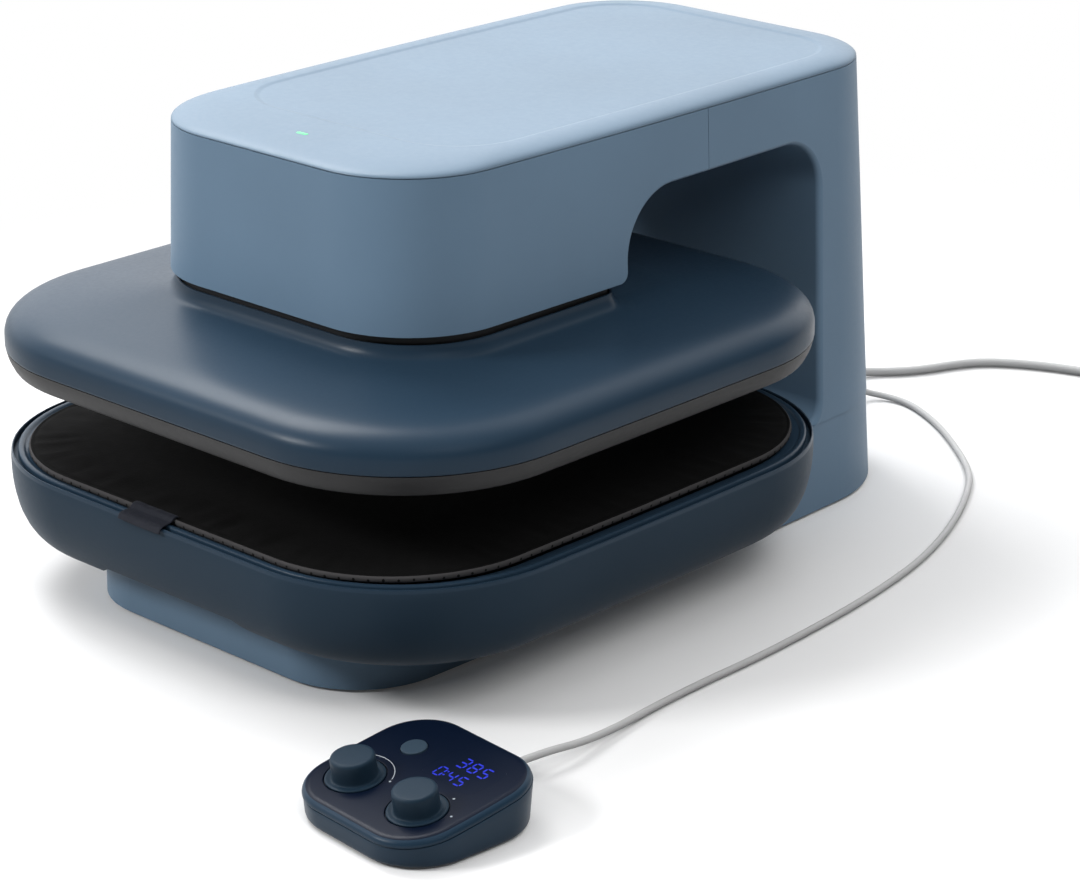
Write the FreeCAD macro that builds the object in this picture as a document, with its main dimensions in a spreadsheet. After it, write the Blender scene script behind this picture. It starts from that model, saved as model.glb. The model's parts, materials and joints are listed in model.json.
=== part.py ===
import FreeCAD, Part
import math
import os
import re
import Sketcher
from collections import namedtuple
from types import SimpleNamespace

Vector = FreeCAD.Vector
Rotation = FreeCAD.Rotation
Placement = FreeCAD.Placement

# Flat heat press with a corded control pod, in millimetres.
# The origin is on the floor under the centre of the heated plate, -Y is the front and +Z is up.

doc = FreeCAD.newDocument("FlatHeatPress")

# Driving dimensions: name, value, what it is
DRIVING = [
    ("wall", 2.5, "plastic wall of the body shells"),
    ("seam", 0.4, "visible gap between two shells"),
    ("fit_gap", 0.3, "gap between a piece and what it seats on"),
    ("running", 0.05, "radial clearance of a shaft in its bearing"),
    # outer body, which narrows upwards
    ("body_half_floor", 136.0, "half width of the body at the floor"),
    ("side_lean", 0.0405, "how much each side leans in per mm of height"),
    ("side_bow", 6000.0, "radius of the slightly bowed sides"),
    ("front_lean", 0.0203, "lean of the head's front"),
    ("rear_lean", 0.1231, "lean of the post's back"),
    ("head_front_floor", -127.4, "head front carried down to the floor"),
    ("rear_floor", 365.3, "back of the post at the floor"),
    ("body_corner_front", 67.0, "corner radius at the head's front"),
    ("body_corner_rear", 97.0, "corner radius at the back, at the floor"),
    ("corner_taper", 0.11, "how much the back corners shrink per mm of height"),
    ("parting_height", 296.5, "top edge of the head and post shells"),
    ("head_depth", 93.4, "height of the head under the parting line"),
    ("head_rear", 60.0, "rear face of the head"),
    ("head_heel", 7.0, "rounding of the head's lower rear edge"),
    ("arm_depth", 40.0, "height of the arm under the parting line"),
    ("arch_front_round", 42.0, "rounding between head and arm"),
    ("arch_rear_round", 34.0, "rounding between arm and post"),
    ("post_front", 247.7, "front face of the post"),
    ("deck_round", 16.0, "rounding between post and deck"),
    ("shell_split", 136.0, "seam between head shell and post shell"),
    ("base_top", 62.0, "deck height and seam under the post"),
    ("plinth_front", -176.8, "front of the plinth"),
    ("plinth_corner", 59.8, "front corner radius of the plinth"),
    # top cover
    ("top_rise", 5.6, "rise of the top cover over its edge"),
    ("top_side_inset", 18.0, "width of the soft edge along the sides"),
    ("top_front_inset", 60.0, "length of the slope at the front"),
    ("top_rear_inset", 23.0, "length of the slope at the back"),
    ("top_wall", 2.2, "wall of the top cover"),
    ("panel_recess", 0.6, "depth of the shallow panel in the top"),
    ("panel_margin", 1.0, "panel's edge in from the soft edge of the top"),
    ("light_length", 9.0, "length of the status light"),
    ("light_width", 3.4, "width of the status light"),
    ("light_place", -88.0, "y of the status light"),
    # feet and base
    ("foot_height", 2.0, "height of the rubber foot ring"),
    ("foot_width", 12.0, "width of the rubber foot ring"),
    ("foot_inset", 8.0, "foot ring in from the plinth's side"),
    ("seat_gap", 0.2, "gap under a piece that rests on another"),
    ("ground_gap", 1.5, "base shell's edge over the floor"),
    ("base_wall", 3.0, "wall of the base shell"),
    ("base_plate_thickness", 2.0, "steel floor of the base"),
    # steel frame
    ("frame_thickness", 5.0, "side plates of the steel frame"),
    ("frame_inner", 70.0, "inner face of a side plate"),
    ("frame_front", -150.0, "front end of the frame's foot"),
    ("frame_foot_top", 54.0, "top edge of the frame's foot"),
    ("frame_wall_gap", 12.0, "frame behind the outer skin at the back"),
    ("frame_top_gap", 4.4, "frame under the top cover"),
    ("frame_slot_gap", 2.0, "gap round the frame where it passes the deck"),
    ("frame_post_gap", 8.0, "frame behind the post's front face"),
    ("frame_arm_gap", 5.5, "frame over the arm's underside"),
    ("frame_head_front", -80.0, "front end of the frame's arm"),
    ("frame_head_rear", 45.0, "rear edge of the frame's head lobe"),
    ("spacer_radius", 7.0, "radius of the bars between the side plates"),
    ("spacer_front", -135.0, "y of the frame's front bar"),
    ("spacer_foot", 300.0, "y of the frame's rear foot bar"),
    ("spacer_post", 285.0, "y of the bars in the post"),
    ("spacer_low", 30.0, "height of the foot bars"),
    ("spacer_middle", 150.0, "height of the post's lower bar"),
    ("spacer_drop", 20.3, "post's upper bar below the frame's top"),
    ("spacer_nose", 9.0, "head bar in from the frame's front and top"),
    ("bolt_radius", 3.0, "radius of the frame's bolts"),
    ("bolt_head", 6.0, "radius of a bolt's head"),
    ("bolt_head_height", 4.0, "height of a bolt's head"),
    ("bolt_reach", 15.0, "depth of a bolt in its bar"),
    ("beam_width", 22.0, "cross beams under the bed"),
    ("beam_half", 108.0, "half length of a cross beam"),
    ("beam_pitch", 105.0, "spacing of the cross beams"),
    ("head_plate_drop", 66.5, "head plate's underside below the parting line"),
    ("head_plate_thickness", 8.0, "thickness of the head plate"),
    ("head_plate_half", 104.0, "half width of the head plate"),
    ("head_plate_front", -95.0, "front edge of the head plate"),
    ("head_plate_back", 52.0, "rear edge of the head plate"),
    ("head_plate_cut_x", 24.0, "width of the head plate's cut front corners"),
    ("head_plate_cut_y", 35.0, "depth of the head plate's cut front corners"),
    # upper platen
    ("platen_half_width", 210.1, "half width of the upper platen"),
    ("platen_half_depth", 212.2, "half depth of the upper platen"),
    ("platen_corner", 112.0, "plan corner radius of the platen"),
    ("platen_bow", 20000.0, "bow radius of the platen's sides"),
    ("cover_depth", 27.8, "cover's floor inside the ridge over its widest line"),
    ("crown_inset", 35.3, "plan width of the cover's round edge"),
    ("crown_rise", 22.5, "height of the cover's round edge"),
    ("crown_power", 2.64, "fullness of the cover's round edge"),
    ("crown_slope", 0.1, "slope of the cover above its edge"),
    ("crown_corner", 14.0, "corner radius where the cover's slope ends"),
    ("cover_wall", 3.0, "wall of the platen cover"),
    ("cover_skirt", 2.8, "platen cover below its widest line"),
    ("shield_depth", 15.8, "heat shield's lower edge below the widest line"),
    ("shield_inset", 5.0, "heat shield's lower edge in from the widest line"),
    ("shield_wall", 4.0, "wall of the heat shield"),
    ("ridge_reach", 4.7, "middle of the ridge's rim in from the head's lower edge"),
    ("ridge_back", 2.0, "room that the ridge leaves behind the head"),
    ("ridge_gap", 5.6, "ridge's rim below the head"),
    ("ridge_width", 1.4, "thickness of the ridge's rim"),
    ("ridge_heel", 18.0, "corner radius of the ridge behind the head"),
    ("moat_gap", 15.1, "cover's floor inside the ridge below the head"),
    ("cover_boss", 5.0, "radius of the cover's bosses on the crosshead"),
    ("cover_boss_x", 120.0, "x of the cover's bosses"),
    ("sleeve_gap", 1.6, "sleeve inside the head shell"),
    ("sleeve_wall", 2.0, "wall of the sliding sleeve"),
    ("sleeve_hold", 1.5, "sleeve left in the head when the platen is down"),
    ("sleeve_heel", 10.0, "corner radius of the sleeve behind the head"),
    ("plate_half", 190.5, "half side of the heated plate"),
    ("plate_corner", 96.0, "corner radius of the heated plate"),
    ("plate_proud", 2.0, "heated plate below its heat shield"),
    ("plate_round", 2.0, "bevel of the heated plate's lower edge"),
    ("plate_thickness", 14.0, "thickness of the heated plate"),
    ("element_radius", 4.0, "radius of the tubular heater"),
    ("element_pitch", 72.0, "spacing of the heater's legs"),
    ("element_leg", 95.0, "half length of the heater's straight legs"),
    ("board_thickness", 7.0, "ceramic board over the heater"),
    ("board_margin", 8.0, "ceramic board in from the heated plate"),
    ("terminal_radius", 2.5, "radius of the heater's terminals"),
    ("terminal_inset", 4.0, "terminals in from the ends of the heater's legs"),
    ("sensor_radius", 5.0, "radius of the temperature sensor"),
    ("cutout_radius", 9.0, "radius of the thermal cutout"),
    ("sensor_y", 45.0, "y of the temperature sensor and of the cutout"),
    ("standoff_height", 13.6, "height of the plate standoffs"),
    ("crosshead_thickness", 6.0, "thickness of the crosshead"),
    ("crosshead_half_width", 150.0, "half width of the crosshead"),
    ("crosshead_half_depth", 85.0, "half depth of the crosshead"),
    ("standoff_radius", 6.0, "radius of the plate standoffs"),
    ("standoff_x", 134.0, "x of the plate standoffs"),
    ("standoff_y", 70.0, "y of the plate standoffs"),
    # drive
    ("rod_radius", 8.0, "radius of the guide rods"),
    ("rod_drop", 2.5, "top of the guide rods below the parting line"),
    ("guide_x", 88.0, "x of the guide rods"),
    ("guide_y", 38.0, "y of the guide rods"),
    ("bush_wall", 3.0, "wall of a guide bush"),
    ("bush_height", 24.0, "height of a guide bush"),
    ("bush_flange", 12.5, "radius of a bush's flange"),
    ("bush_flange_height", 3.0, "height of a bush's flange"),
    ("bush_drop", 8.0, "bush below the head plate"),
    ("screw_radius", 7.0, "radius of the lead screw"),
    ("screw_clear", 1.2, "lead screw's lower end over the ceramic board"),
    ("screw_nose", 2.0, "lead screw's upper end over its gear"),
    ("journal_radius", 6.0, "radius of the screw's journal under the gear"),
    ("collar_radius", 10.0, "radius of the screw's thrust collar"),
    ("collar_height", 1.4, "height of the screw's thrust collar"),
    ("nut_radius", 15.0, "radius of the drive nut"),
    ("nut_height", 22.0, "height of the drive nut"),
    ("nut_gap", 2.0, "drive nut below the head plate at rest"),
    ("column_radius", 15.0, "outer radius of the drive column"),
    ("column_bore", 10.0, "bore radius of the drive column"),
    ("bearing_radius", 16.0, "outer radius of the screw bearing"),
    ("gear_module", 1.25, "module of the gears"),
    ("gear_teeth", 48, "teeth of the screw gear"),
    ("pinion_teeth", 16, "teeth of the motor pinion"),
    ("gear_lift", 1.0, "gears over the head plate"),
    ("gear_width", 9.0, "face width of the gears"),
    ("gear_backlash", 0.12, "backlash at the pitch line"),
    ("motor_radius", 19.0, "radius of the gear motor"),
    ("motor_height", 34.0, "height of the gear motor"),
    ("motor_plate_lift", 3.0, "motor plate over the gears"),
    ("motor_plate_half", 30.0, "half depth of the motor plate"),
    ("motor_plate_thickness", 3.0, "thickness of the motor plate"),
    ("shaft_radius", 3.0, "radius of the pinion shaft"),
    ("shaft_reach", 8.0, "pinion shaft inside the motor"),
    # lower tray and bed
    ("tray_half_width", 210.0, "half width of the lower tray"),
    ("tray_front", -214.7, "front of the lower tray"),
    ("tray_back", 217.5, "back of the lower tray"),
    ("tray_corner", 115.0, "plan corner radius of the tray"),
    ("tray_bow", 6670.0, "bow radius of the tray's sides"),
    ("tray_middle", 84.2, "height of the tray's widest line"),
    ("tray_bottom", 33.7, "underside of the tray"),
    ("tray_inset", 27.0, "tray's underside in from the widest line"),
    ("tray_power", 2.33, "fullness of the tray's side"),
    ("tray_rim", 89.5, "rim of the tray"),
    ("tray_wall", 3.0, "wall of the tray"),
    ("rim_inset", 0.6, "tray's rim in from its widest line"),
    ("rim_lip", 1.0, "lip of the rim outside the bezel"),
    ("notch_half", 56.0, "half width of the finger notch"),
    ("notch_flare", 16.0, "run of the notch's sloped ends"),
    ("notch_top", 43.5, "roof of the finger notch"),
    ("notch_back", -181.0, "back wall of the finger notch"),
    ("bezel_inner", 192.6, "inner half width of the bezel"),
    ("bezel_front", -200.0, "inner front edge of the bezel"),
    ("bezel_corner", 98.0, "corner radius of the bezel's inner edge"),
    ("bezel_crest", 90.2, "crest of the bezel"),
    ("bezel_edge", 87.4, "bezel's height at its inner edge"),
    ("bezel_shelf", 85.5, "shelf that carries the bezel's rim"),
    ("bed_thickness", 8.0, "plate of the press bed"),
    ("bed_half", 205.0, "half side of the press bed"),
    ("bed_corner", 108.0, "corner radius of the press bed"),
    ("rib_pitch", 60.0, "spacing of the bed's ribs"),
    ("rib_width", 5.0, "width of the bed's ribs"),
    ("bed_top", 84.0, "top of the press bed"),
    ("mat_half_width", 186.0, "half width of the mat"),
    ("mat_half_depth", 197.0, "half depth of the mat"),
    ("mat_corner", 92.0, "corner radius of the mat"),
    ("mat_edge", 7.0, "thickness of the mat's edge"),
    ("mat_crown", 2.4, "rise of the mat's middle over its edge"),
    ("mat_round", 1.8, "rounding of the mat's edge"),
    ("crown_run", 80.0, "width of the mat's slope to its crown"),
    ("tag_width", 34.0, "width of the bare fabric tag"),
    ("tag_place", -19.0, "x of the tag's middle"),
    ("tag_thickness", 1.2, "thickness of the folded tag"),
    ("tag_overlap", 6.0, "tag over the mat"),
    # electronics in the base
    ("board_half", 62.0, "half width of the circuit boards"),
    ("board_lift", 6.0, "circuit boards over the base plate"),
    ("pcb", 1.6, "thickness of a circuit board"),
    ("board_boss", 3.0, "radius of a boss under a board"),
    ("board_boss_inset", 6.0, "bosses in from a board's edges"),
    ("power_board_front", 120.0, "front edge of the power board"),
    ("power_board_length", 120.0, "length of the power board"),
    ("control_board_front", -120.0, "front edge of the control board"),
    ("control_board_length", 90.0, "length of the control board"),
    # switch and leads at the back
    ("switch_height", 100.0, "height of the mains switch"),
    ("switch_half", 15.0, "half width of the switch's bezel"),
    ("switch_tall", 22.0, "height of the switch's bezel"),
    ("switch_depth", 20.0, "depth of the switch's body"),
    ("switch_throw", 14.0, "throw of the rocker, in degrees"),
    ("switch_flange", 1.6, "thickness of the switch's flange"),
    ("switch_lip", 2.0, "switch's flange outside its body"),
    ("rocker_margin", 5.0, "rocker's pocket in from the flange's side"),
    ("rocker_depth", 8.0, "depth of the rocker's pocket"),
    ("rocker_gap", 0.7, "gap over and under the rocker"),
    ("rocker_half", 5.8, "half height of the rocker"),
    ("rocker_pivot", -1.0, "rocker's axis behind the post's back"),
    ("rocker_pin", 1.2, "radius of the rocker's pin"),
    ("lead_height", 30.0, "height of the lead exits"),
    ("relief_wall", 2.0, "strain relief's barrel round its lead"),
    ("relief_flange", 1.6, "strain relief's flange outside its barrel"),
    ("relief_flange_height", 2.0, "thickness of a strain relief's flange"),
    ("relief_tip", 0.7, "wall of a strain relief at its tip"),
    ("relief_inside", 8.0, "strain relief inside the base"),
    ("mains_x", -24.0, "x of the mains lead's exit"),
    ("mains_radius", 3.2, "radius of the mains lead"),
    ("mains_relief", 30.0, "length of the mains strain relief"),
    ("pod_lead_x", 14.0, "x of the pod lead's exit"),
    ("pod_lead_radius", 2.25, "radius of the pod lead"),
    ("pod_relief", 22.0, "length of the pod lead's strain relief"),
    # mains coil and plug
    ("coil_x", 184.0, "x of the coil's middle"),
    ("coil_y", 646.0, "y of the coil's middle"),
    ("coil_outer", 49.0, "outermost radius of the lead in the coil"),
    ("coil_gap", 0.7, "gap between two turns"),
    ("coil_turns", 6.25, "turns in the coil"),
    ("coil_tail", 36.0, "straight end of the coil before the plug"),
    ("plug_length", 38.0, "length of the plug's body"),
    ("plug_width", 28.0, "width of the plug's body"),
    ("plug_height", 20.0, "height of the plug's body"),
    ("plug_round", 3.5, "rounding of the plug's body"),
    ("plug_neck", 20.0, "length of the plug's sleeve"),
    ("blade_length", 17.0, "length of the plug's blades"),
    ("blade_width", 6.3, "width of the plug's blades"),
    ("blade_thickness", 1.5, "thickness of the plug's blades"),
    ("blade_half_spacing", 6.35, "half the spacing of the plug's blades"),
    # control pod
    ("pod_x", 250.3, "x of the pod's middle"),
    ("pod_y", -247.6, "y of the pod's middle"),
    ("pod_turn", -5.4, "turn of the pod about the vertical, in degrees"),
    ("pod_slope", 8.2, "slope of the pod's top, in degrees"),
    ("pod_half_width", 55.7, "half width of the pod at its seam"),
    ("pod_half_floor", 56.4, "half width of the pod at the floor"),
    ("pod_lean", 0.036, "how much the pod's sides lean in per mm of height"),
    ("pod_taper", 0.26, "how much the pod's corners shrink per mm of height"),
    ("pod_half_depth", 51.1, "half depth of the pod"),
    ("pod_corner", 31.0, "corner radius of the pod"),
    ("pod_bow", 600.0, "bow radius of the pod's sides"),
    ("pod_foot_corner", 36.0, "corner radius of the pod at its floor"),
    ("pod_foot_inset", 1.2, "pod's lower edge in from its widest line"),
    ("pod_boot", 12.0, "length of the lead's boot at the pod"),
    ("pod_floor_gap", 1.0, "pod's shell over the floor"),
    ("pod_seam_height", 19.4, "height of the pod's seam at its middle"),
    ("pod_cover_rise", 4.7, "height of the pod's cover over the seam"),
    ("pod_cover_inset", 5.0, "width of the pod cover's round edge"),
    ("pod_wall", 2.0, "wall of the pod's shells"),
    ("pod_pad_radius", 6.0, "radius of the pod's feet"),
    ("pod_pad_x", 33.0, "x of the pod's feet"),
    ("pod_pad_y", 28.0, "y of the pod's feet"),
    ("pod_board_drop", 9.0, "pod's board below its top face"),
    ("pod_board_margin", 6.2, "pod's board in from the pod's sides"),
    ("pod_post", 3.0, "radius of the posts under the pod's board"),
    ("pod_post_x", 42.0, "x of the posts under the pod's board"),
    ("pod_post_y", 30.0, "y of the posts under the pod's board"),
    ("dial_left", -27.5, "x of the temperature dial on the pod"),
    ("dial_right", 25.0, "x of the time dial on the pod"),
    ("dial_y", -19.8, "y of the dials on the pod"),
    ("dial_flange", 16.9, "radius of a dial's flange"),
    ("dial_well", 17.6, "radius of the well that a dial sits in"),
    ("dial_sink", 0.7, "dial's flange below the pod's top"),
    ("dial_flange_edge", 0.9, "thickness of a dial's flange"),
    ("dial_roof", 4.0, "dial's top over its spindle"),
    ("dial_radius", 12.6, "radius of a dial's grip"),
    ("dial_height", 13.0, "height of a dial over the pod's top"),
    ("dial_round", 1.6, "rounding of a dial's top edge"),
    ("dial_press", 0.6, "press travel of a dial"),
    ("encoder_half", 6.5, "half width of an encoder's body"),
    ("encoder_height", 5.5, "height of an encoder's body"),
    ("spindle_radius", 3.0, "radius of an encoder's spindle"),
    ("button_x", -24.0, "x of the round button on the pod"),
    ("button_y", 18.9, "y of the round button on the pod"),
    ("button_radius", 7.5, "radius of the round button"),
    ("button_gap", 0.3, "gap round the round button"),
    ("button_press", 0.5, "press travel of the round button"),
    ("button_proud", 0.8, "round button over the pod's top"),
    ("button_flange", 1.2, "hidden flange of the round button"),
    ("switch_pad", 6.0, "side of the button's switch"),
    ("switch_pad_height", 2.0, "height of the button's switch"),
    ("window_x", 17.0, "x of the display window's middle"),
    ("window_y", 20.0, "y of the display window's middle"),
    ("window_half_width", 21.0, "half width of the display window"),
    ("window_half_depth", 14.0, "half depth of the display window"),
    ("window_corner", 4.0, "corner radius of the display window"),
    ("window_thickness", 1.2, "thickness of the display window"),
    ("window_ledge", 2.0, "ledge that carries the display window"),
    ("pod_lead_entry", 11.5, "height of the pod lead at the pod"),
    ("pod_lead_side", 4.0, "pod lead to the side of the pod's middle"),
]

# Sizes that follow from the driving ones
DERIVED = [
    ("base_plate_top", "=foot_height + base_plate_thickness", "top of the base plate"),
    ("board_level", "=base_plate_top + board_lift", "underside of the circuit boards"),
    ("frame_foot", "=base_plate_top + seat_gap", "underside of the frame"),
    ("cover_base", "=parting_height + seam", "lower edge of the top cover"),
    ("cover_top", "=cover_base + top_rise", "highest point of the top cover"),
    ("frame_top", "=cover_top - top_wall - panel_recess - frame_top_gap", "top of the frame"),
    ("spacer_high", "=frame_top - spacer_drop", "height of the post's upper bar"),
    ("arch_roof", "=parting_height - arm_depth", "underside of the arm"),
    ("head_bottom", "=parting_height - head_depth", "lower edge of the head"),
    ("head_plate_bottom", "=parting_height - head_plate_drop", "underside of the head plate"),
    ("head_plate_top", "=head_plate_bottom + head_plate_thickness", "top of the head plate"),
    ("ridge_top", "=head_bottom - ridge_gap", "rim of the ridge round the sleeve"),
    ("moat_floor", "=head_bottom - moat_gap", "cover's height inside the ridge"),
    ("platen_middle", "=moat_floor - cover_depth", "height of the platen's widest line"),
    ("cover_bottom", "=platen_middle - cover_skirt", "lower edge of the platen cover"),
    ("shield_bottom", "=platen_middle - shield_depth", "lower edge of the heat shield"),
    ("plate_bottom", "=shield_bottom - plate_proud", "working face of the heated plate"),
    ("plate_top", "=plate_bottom + plate_thickness", "top of the heated plate"),
    ("board_bottom", "=plate_top + element_radius + seat_gap", "underside of the ceramic board"),
    ("board_top", "=board_bottom + board_thickness", "top of the ceramic board"),
    ("crosshead_bottom", "=plate_top + standoff_height", "underside of the crosshead"),
    ("crosshead_top", "=crosshead_bottom + crosshead_thickness", "top of the crosshead"),
    ("nut_top", "=head_plate_bottom - nut_gap", "top of the drive nut at rest"),
    ("nut_bottom", "=nut_top - nut_height", "underside of the drive nut"),
    ("rod_top", "=parting_height - rod_drop", "top of the guide rods"),
    ("gear_bottom", "=head_plate_top + gear_lift", "underside of the gears"),
    ("screw_tail", "=board_top + screw_clear", "lower end of the lead screw"),
    ("screw_top", "=gear_bottom + gear_width + screw_nose", "upper end of the lead screw"),
    ("pinion_y", "=-gear_module * (gear_teeth + pinion_teeth) / 2", "y of the pinion and motor"),
    ("motor_plate_bottom", "=gear_bottom + gear_width + motor_plate_lift", "underside of the motor plate"),
    ("motor_bottom", "=motor_plate_bottom + motor_plate_thickness", "underside of the motor"),
    ("shaft_top", "=motor_bottom + shaft_reach", "upper end of the pinion's shaft"),
    ("bush_outer", "=rod_radius + running + bush_wall", "outer radius of a guide bush"),
    ("bush_bottom", "=head_plate_bottom - bush_drop", "lower end of a guide bush"),
    ("mat_bottom", "=bed_top + fit_gap", "underside of the mat"),
    ("mat_edge_top", "=mat_bottom + mat_edge", "top of the mat's edge"),
    ("press_travel", "=plate_bottom - mat_edge_top - mat_crown - fit_gap", "travel of the platen"),
    ("sleeve_top", "=head_bottom + press_travel + sleeve_hold", "top edge of the sliding sleeve"),
    ("pod_board_top", "=pod_cover_rise - pod_board_drop", "top of the pod's board over the seam plane"),
    ("pod_board_bottom", "=pod_board_top - pcb", "underside of the pod's board over the seam plane"),
    ("well_depth", "=dial_sink + dial_press + fit_gap", "depth of the well that a dial sits in"),
    ("well_floor", "=pod_cover_rise - well_depth", "floor of a dial's well over the seam plane"),
    ("dial_bottom", "=pod_cover_rise - dial_sink", "underside of a dial over the seam plane"),
    ("dial_top", "=pod_cover_rise + dial_height", "top of a dial over the seam plane"),
    ("spindle_top", "=dial_top - dial_roof", "upper end of a spindle over the seam plane"),
    ("button_bottom", "=pod_board_top + switch_pad_height + button_press + fit_gap", "lower end of the button"),
    ("button_ledge", "=pod_cover_rise - pod_wall - 2 * seat_gap", "top of the button's hidden flange"),
]

sheet = doc.addObject("Spreadsheet::Sheet", "Dimensions")
for row, (alias, content, note) in enumerate(DRIVING + DERIVED, start=1):
    sheet.set(f"A{row}", alias)
    sheet.set(f"B{row}", str(content))
    sheet.setAlias(f"B{row}", alias)
    sheet.set(f"C{row}", note)
doc.recompute()

ALIASES = [alias for alias, content, note in DRIVING + DERIVED]
d = SimpleNamespace(**{alias: float(getattr(sheet, alias)) for alias in ALIASES})

# Reach of the blocks that only trim other shapes
WIDE = 400.0
FAR = 500.0
OVER = 20.0

# Heights of a round edge's sections, as shares of its height
EDGE_STEPS = (0.0, 0.35, 0.6, 0.8, 0.92, 0.98, 1.0)

# Ridge round the sleeve: how far its hollow foot stands out, and its share of the climb to the rim
RIDGE_FOOT = ((24.0, 0.0), (16.0, 0.09), (11.4, 0.165), (8.2, 0.235), (5.6, 0.325), (3.4, 0.44), (1.8, 0.58),
              (0.7, 0.755), (0.1, 0.93), (-0.3, 1.0))

# Turns that the coil winds in along the floor, and the share of a turn that climbs to the next layer
INWARD_TURNS = 3.0
REVERSAL = 0.5


def bound(text):
    """The expression with each size named as the sheet's cell."""
    def named(word):
        return "Dimensions." + word.group() if word.group() in ALIASES else word.group()
    return re.sub(r"[a-z][a-z_]+", named, text)


def bind(thing, **expressions):
    """Ties properties of a document object to the sheet: Placement.Base.x is written place_x."""
    for name, text in expressions.items():
        path = name.replace("place_", "Placement.Base.") if name.startswith("place_") else name
        thing.setExpression(path, bound(text))


NODES = []


def node(thing, label):
    """Registers a finished sub-part under the name that its file gets."""
    thing.Label = label
    NODES.append(thing)
    return thing


def solid(label, shape, place=None):
    """A sub-part whose shape no sketch or primitive gives."""
    feature = doc.addObject("Part::Feature", label)
    feature.Shape = shape
    if place:
        feature.Placement = place * shape.Placement
    return node(feature, label)


def sketch(body, name, role, corners=(), circles=(), lift="0"):
    """A fully constrained sketch on an origin plane: one polygon and any circles, tied to the sheet."""
    made = body.newObject("Sketcher::SketchObject", name)
    plane = next(feature for feature in body.Origin.OriginFeatures if feature.Role == role)
    made.AttachmentSupport = [(plane, "")]
    made.MapMode = "FlatFace"
    made.setExpression("AttachmentOffset.Base.z", bound(lift))
    count = len(corners)
    start = [Rotation(Vector(0, 0, 1), 360.0 * k / count).multVec(Vector(50, 0, 0)) for k in range(count)]
    for k in range(count):
        made.addGeometry(Part.LineSegment(start[k], start[(k + 1) % count]), False)
    for k in range(count):
        made.addConstraint(Sketcher.Constraint("Coincident", k, 2, (k + 1) % count, 1))

    def locate(geometry, vertex, x, y):
        for kind, text in (("DistanceX", x), ("DistanceY", y)):
            index = made.addConstraint(Sketcher.Constraint(kind, -1, 1, geometry, vertex, 1.0))
            made.setExpression(f"Constraints[{index}]", bound(text))

    for k, (x, y) in enumerate(corners):
        locate(k, 1, x, y)
    for x, y, radius in circles:
        geometry = made.addGeometry(Part.Circle(Vector(1, 1, 0), Vector(0, 0, 1), 2.0), False)
        locate(geometry, 3, x, y)
        index = made.addConstraint(Sketcher.Constraint("Radius", geometry, 1.0))
        made.setExpression(f"Constraints[{index}]", bound(radius))
    return made


def turned(label, corners, x="0", y="0"):
    """A turned piece: a profile of radius and height about a vertical axis."""
    body = doc.addObject("PartDesign::Body", label)
    profile = sketch(body, label + "_profile", "XZ_Plane", corners)
    revolution = body.newObject("PartDesign::Revolution", label + "_turned")
    revolution.Profile = profile
    revolution.ReferenceAxis = (profile, ["V_Axis"])
    revolution.Angle = 360
    bind(body, place_x=x, place_y=y)
    return body


def padded(label, role, corners, circles, thickness, lift="0"):
    """A plate: an outline with round holes, padded along the plane's normal."""
    body = doc.addObject("PartDesign::Body", label)
    profile = sketch(body, label + "_outline", role, corners, circles, lift)
    pad = body.newObject("PartDesign::Pad", label + "_pad")
    pad.Profile = profile
    pad.setExpression("Length", bound(thickness))
    return body


def rectangle(half_width, front, back):
    return [(f"-({half_width})", front), (half_width, front), (half_width, back), (f"-({half_width})", back)]


def box(name, length, width, height, x, y, z):
    made = doc.addObject("Part::Box", name)
    bind(made, Length=length, Width=width, Height=height, place_x=x, place_y=y, place_z=z)
    return made


def cylinder(name, radius, height, x, y, z, turn=None):
    made = doc.addObject("Part::Cylinder", name)
    if turn:
        made.Placement = Placement(Vector(), turn)
    bind(made, Radius=radius, Height=height, place_x=x, place_y=y, place_z=z)
    return made


def fused(name, things):
    made = doc.addObject("Part::MultiFuse", name)
    made.Shapes = things
    return made


def grouped(name, things):
    """Separate identical solids kept in one piece of the model."""
    made = doc.addObject("Part::Compound", name)
    made.Links = things
    return made


def cut(name, base, tool):
    made = doc.addObject("Part::Cut", name)
    made.Base = base
    made.Tool = tool
    return made


# Outlines and lofts shared by the shells


def outline(half, front, back, front_corner, back_corner, bow, height):
    """Closed wire of straight ends, bowed sides and four tangent corner arcs."""
    middle = (front + back) / 2
    side_centre = half - bow

    def corner(line, radius, way):
        centre_y = line - way * radius
        centre_x = side_centre + math.sqrt((bow - radius) ** 2 - (centre_y - middle) ** 2)
        reach = bow / (bow - radius)
        angle = math.atan2(centre_y - middle, centre_x - side_centre)
        half_way = (angle + way * math.pi / 2) / 2
        return SimpleNamespace(
            flat=(centre_x, line),
            arc=(centre_x + radius * math.cos(half_way), centre_y + radius * math.sin(half_way)),
            side=(side_centre + (centre_x - side_centre) * reach, middle + (centre_y - middle) * reach),
        )

    low, high = corner(front, front_corner, -1), corner(back, back_corner, 1)

    def at(point, mirror=1):
        return Vector(mirror * point[0], point[1], height)

    return Part.Wire([
        Part.LineSegment(at(low.flat, -1), at(low.flat)).toShape(),
        Part.Arc(at(low.flat), at(low.arc), at(low.side)).toShape(),
        Part.Arc(at(low.side), at((half, middle)), at(high.side)).toShape(),
        Part.Arc(at(high.side), at(high.arc), at(high.flat)).toShape(),
        Part.LineSegment(at(high.flat), at(high.flat, -1)).toShape(),
        Part.Arc(at(high.flat, -1), at(high.arc, -1), at(high.side, -1)).toShape(),
        Part.Arc(at(high.side, -1), at((half, middle), -1), at(low.side, -1)).toShape(),
        Part.Arc(at(low.side, -1), at(low.arc, -1), at(low.flat, -1)).toShape(),
    ])


def loft(wires, ruled=True):
    return Part.makeLoft(wires, True, ruled)


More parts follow.
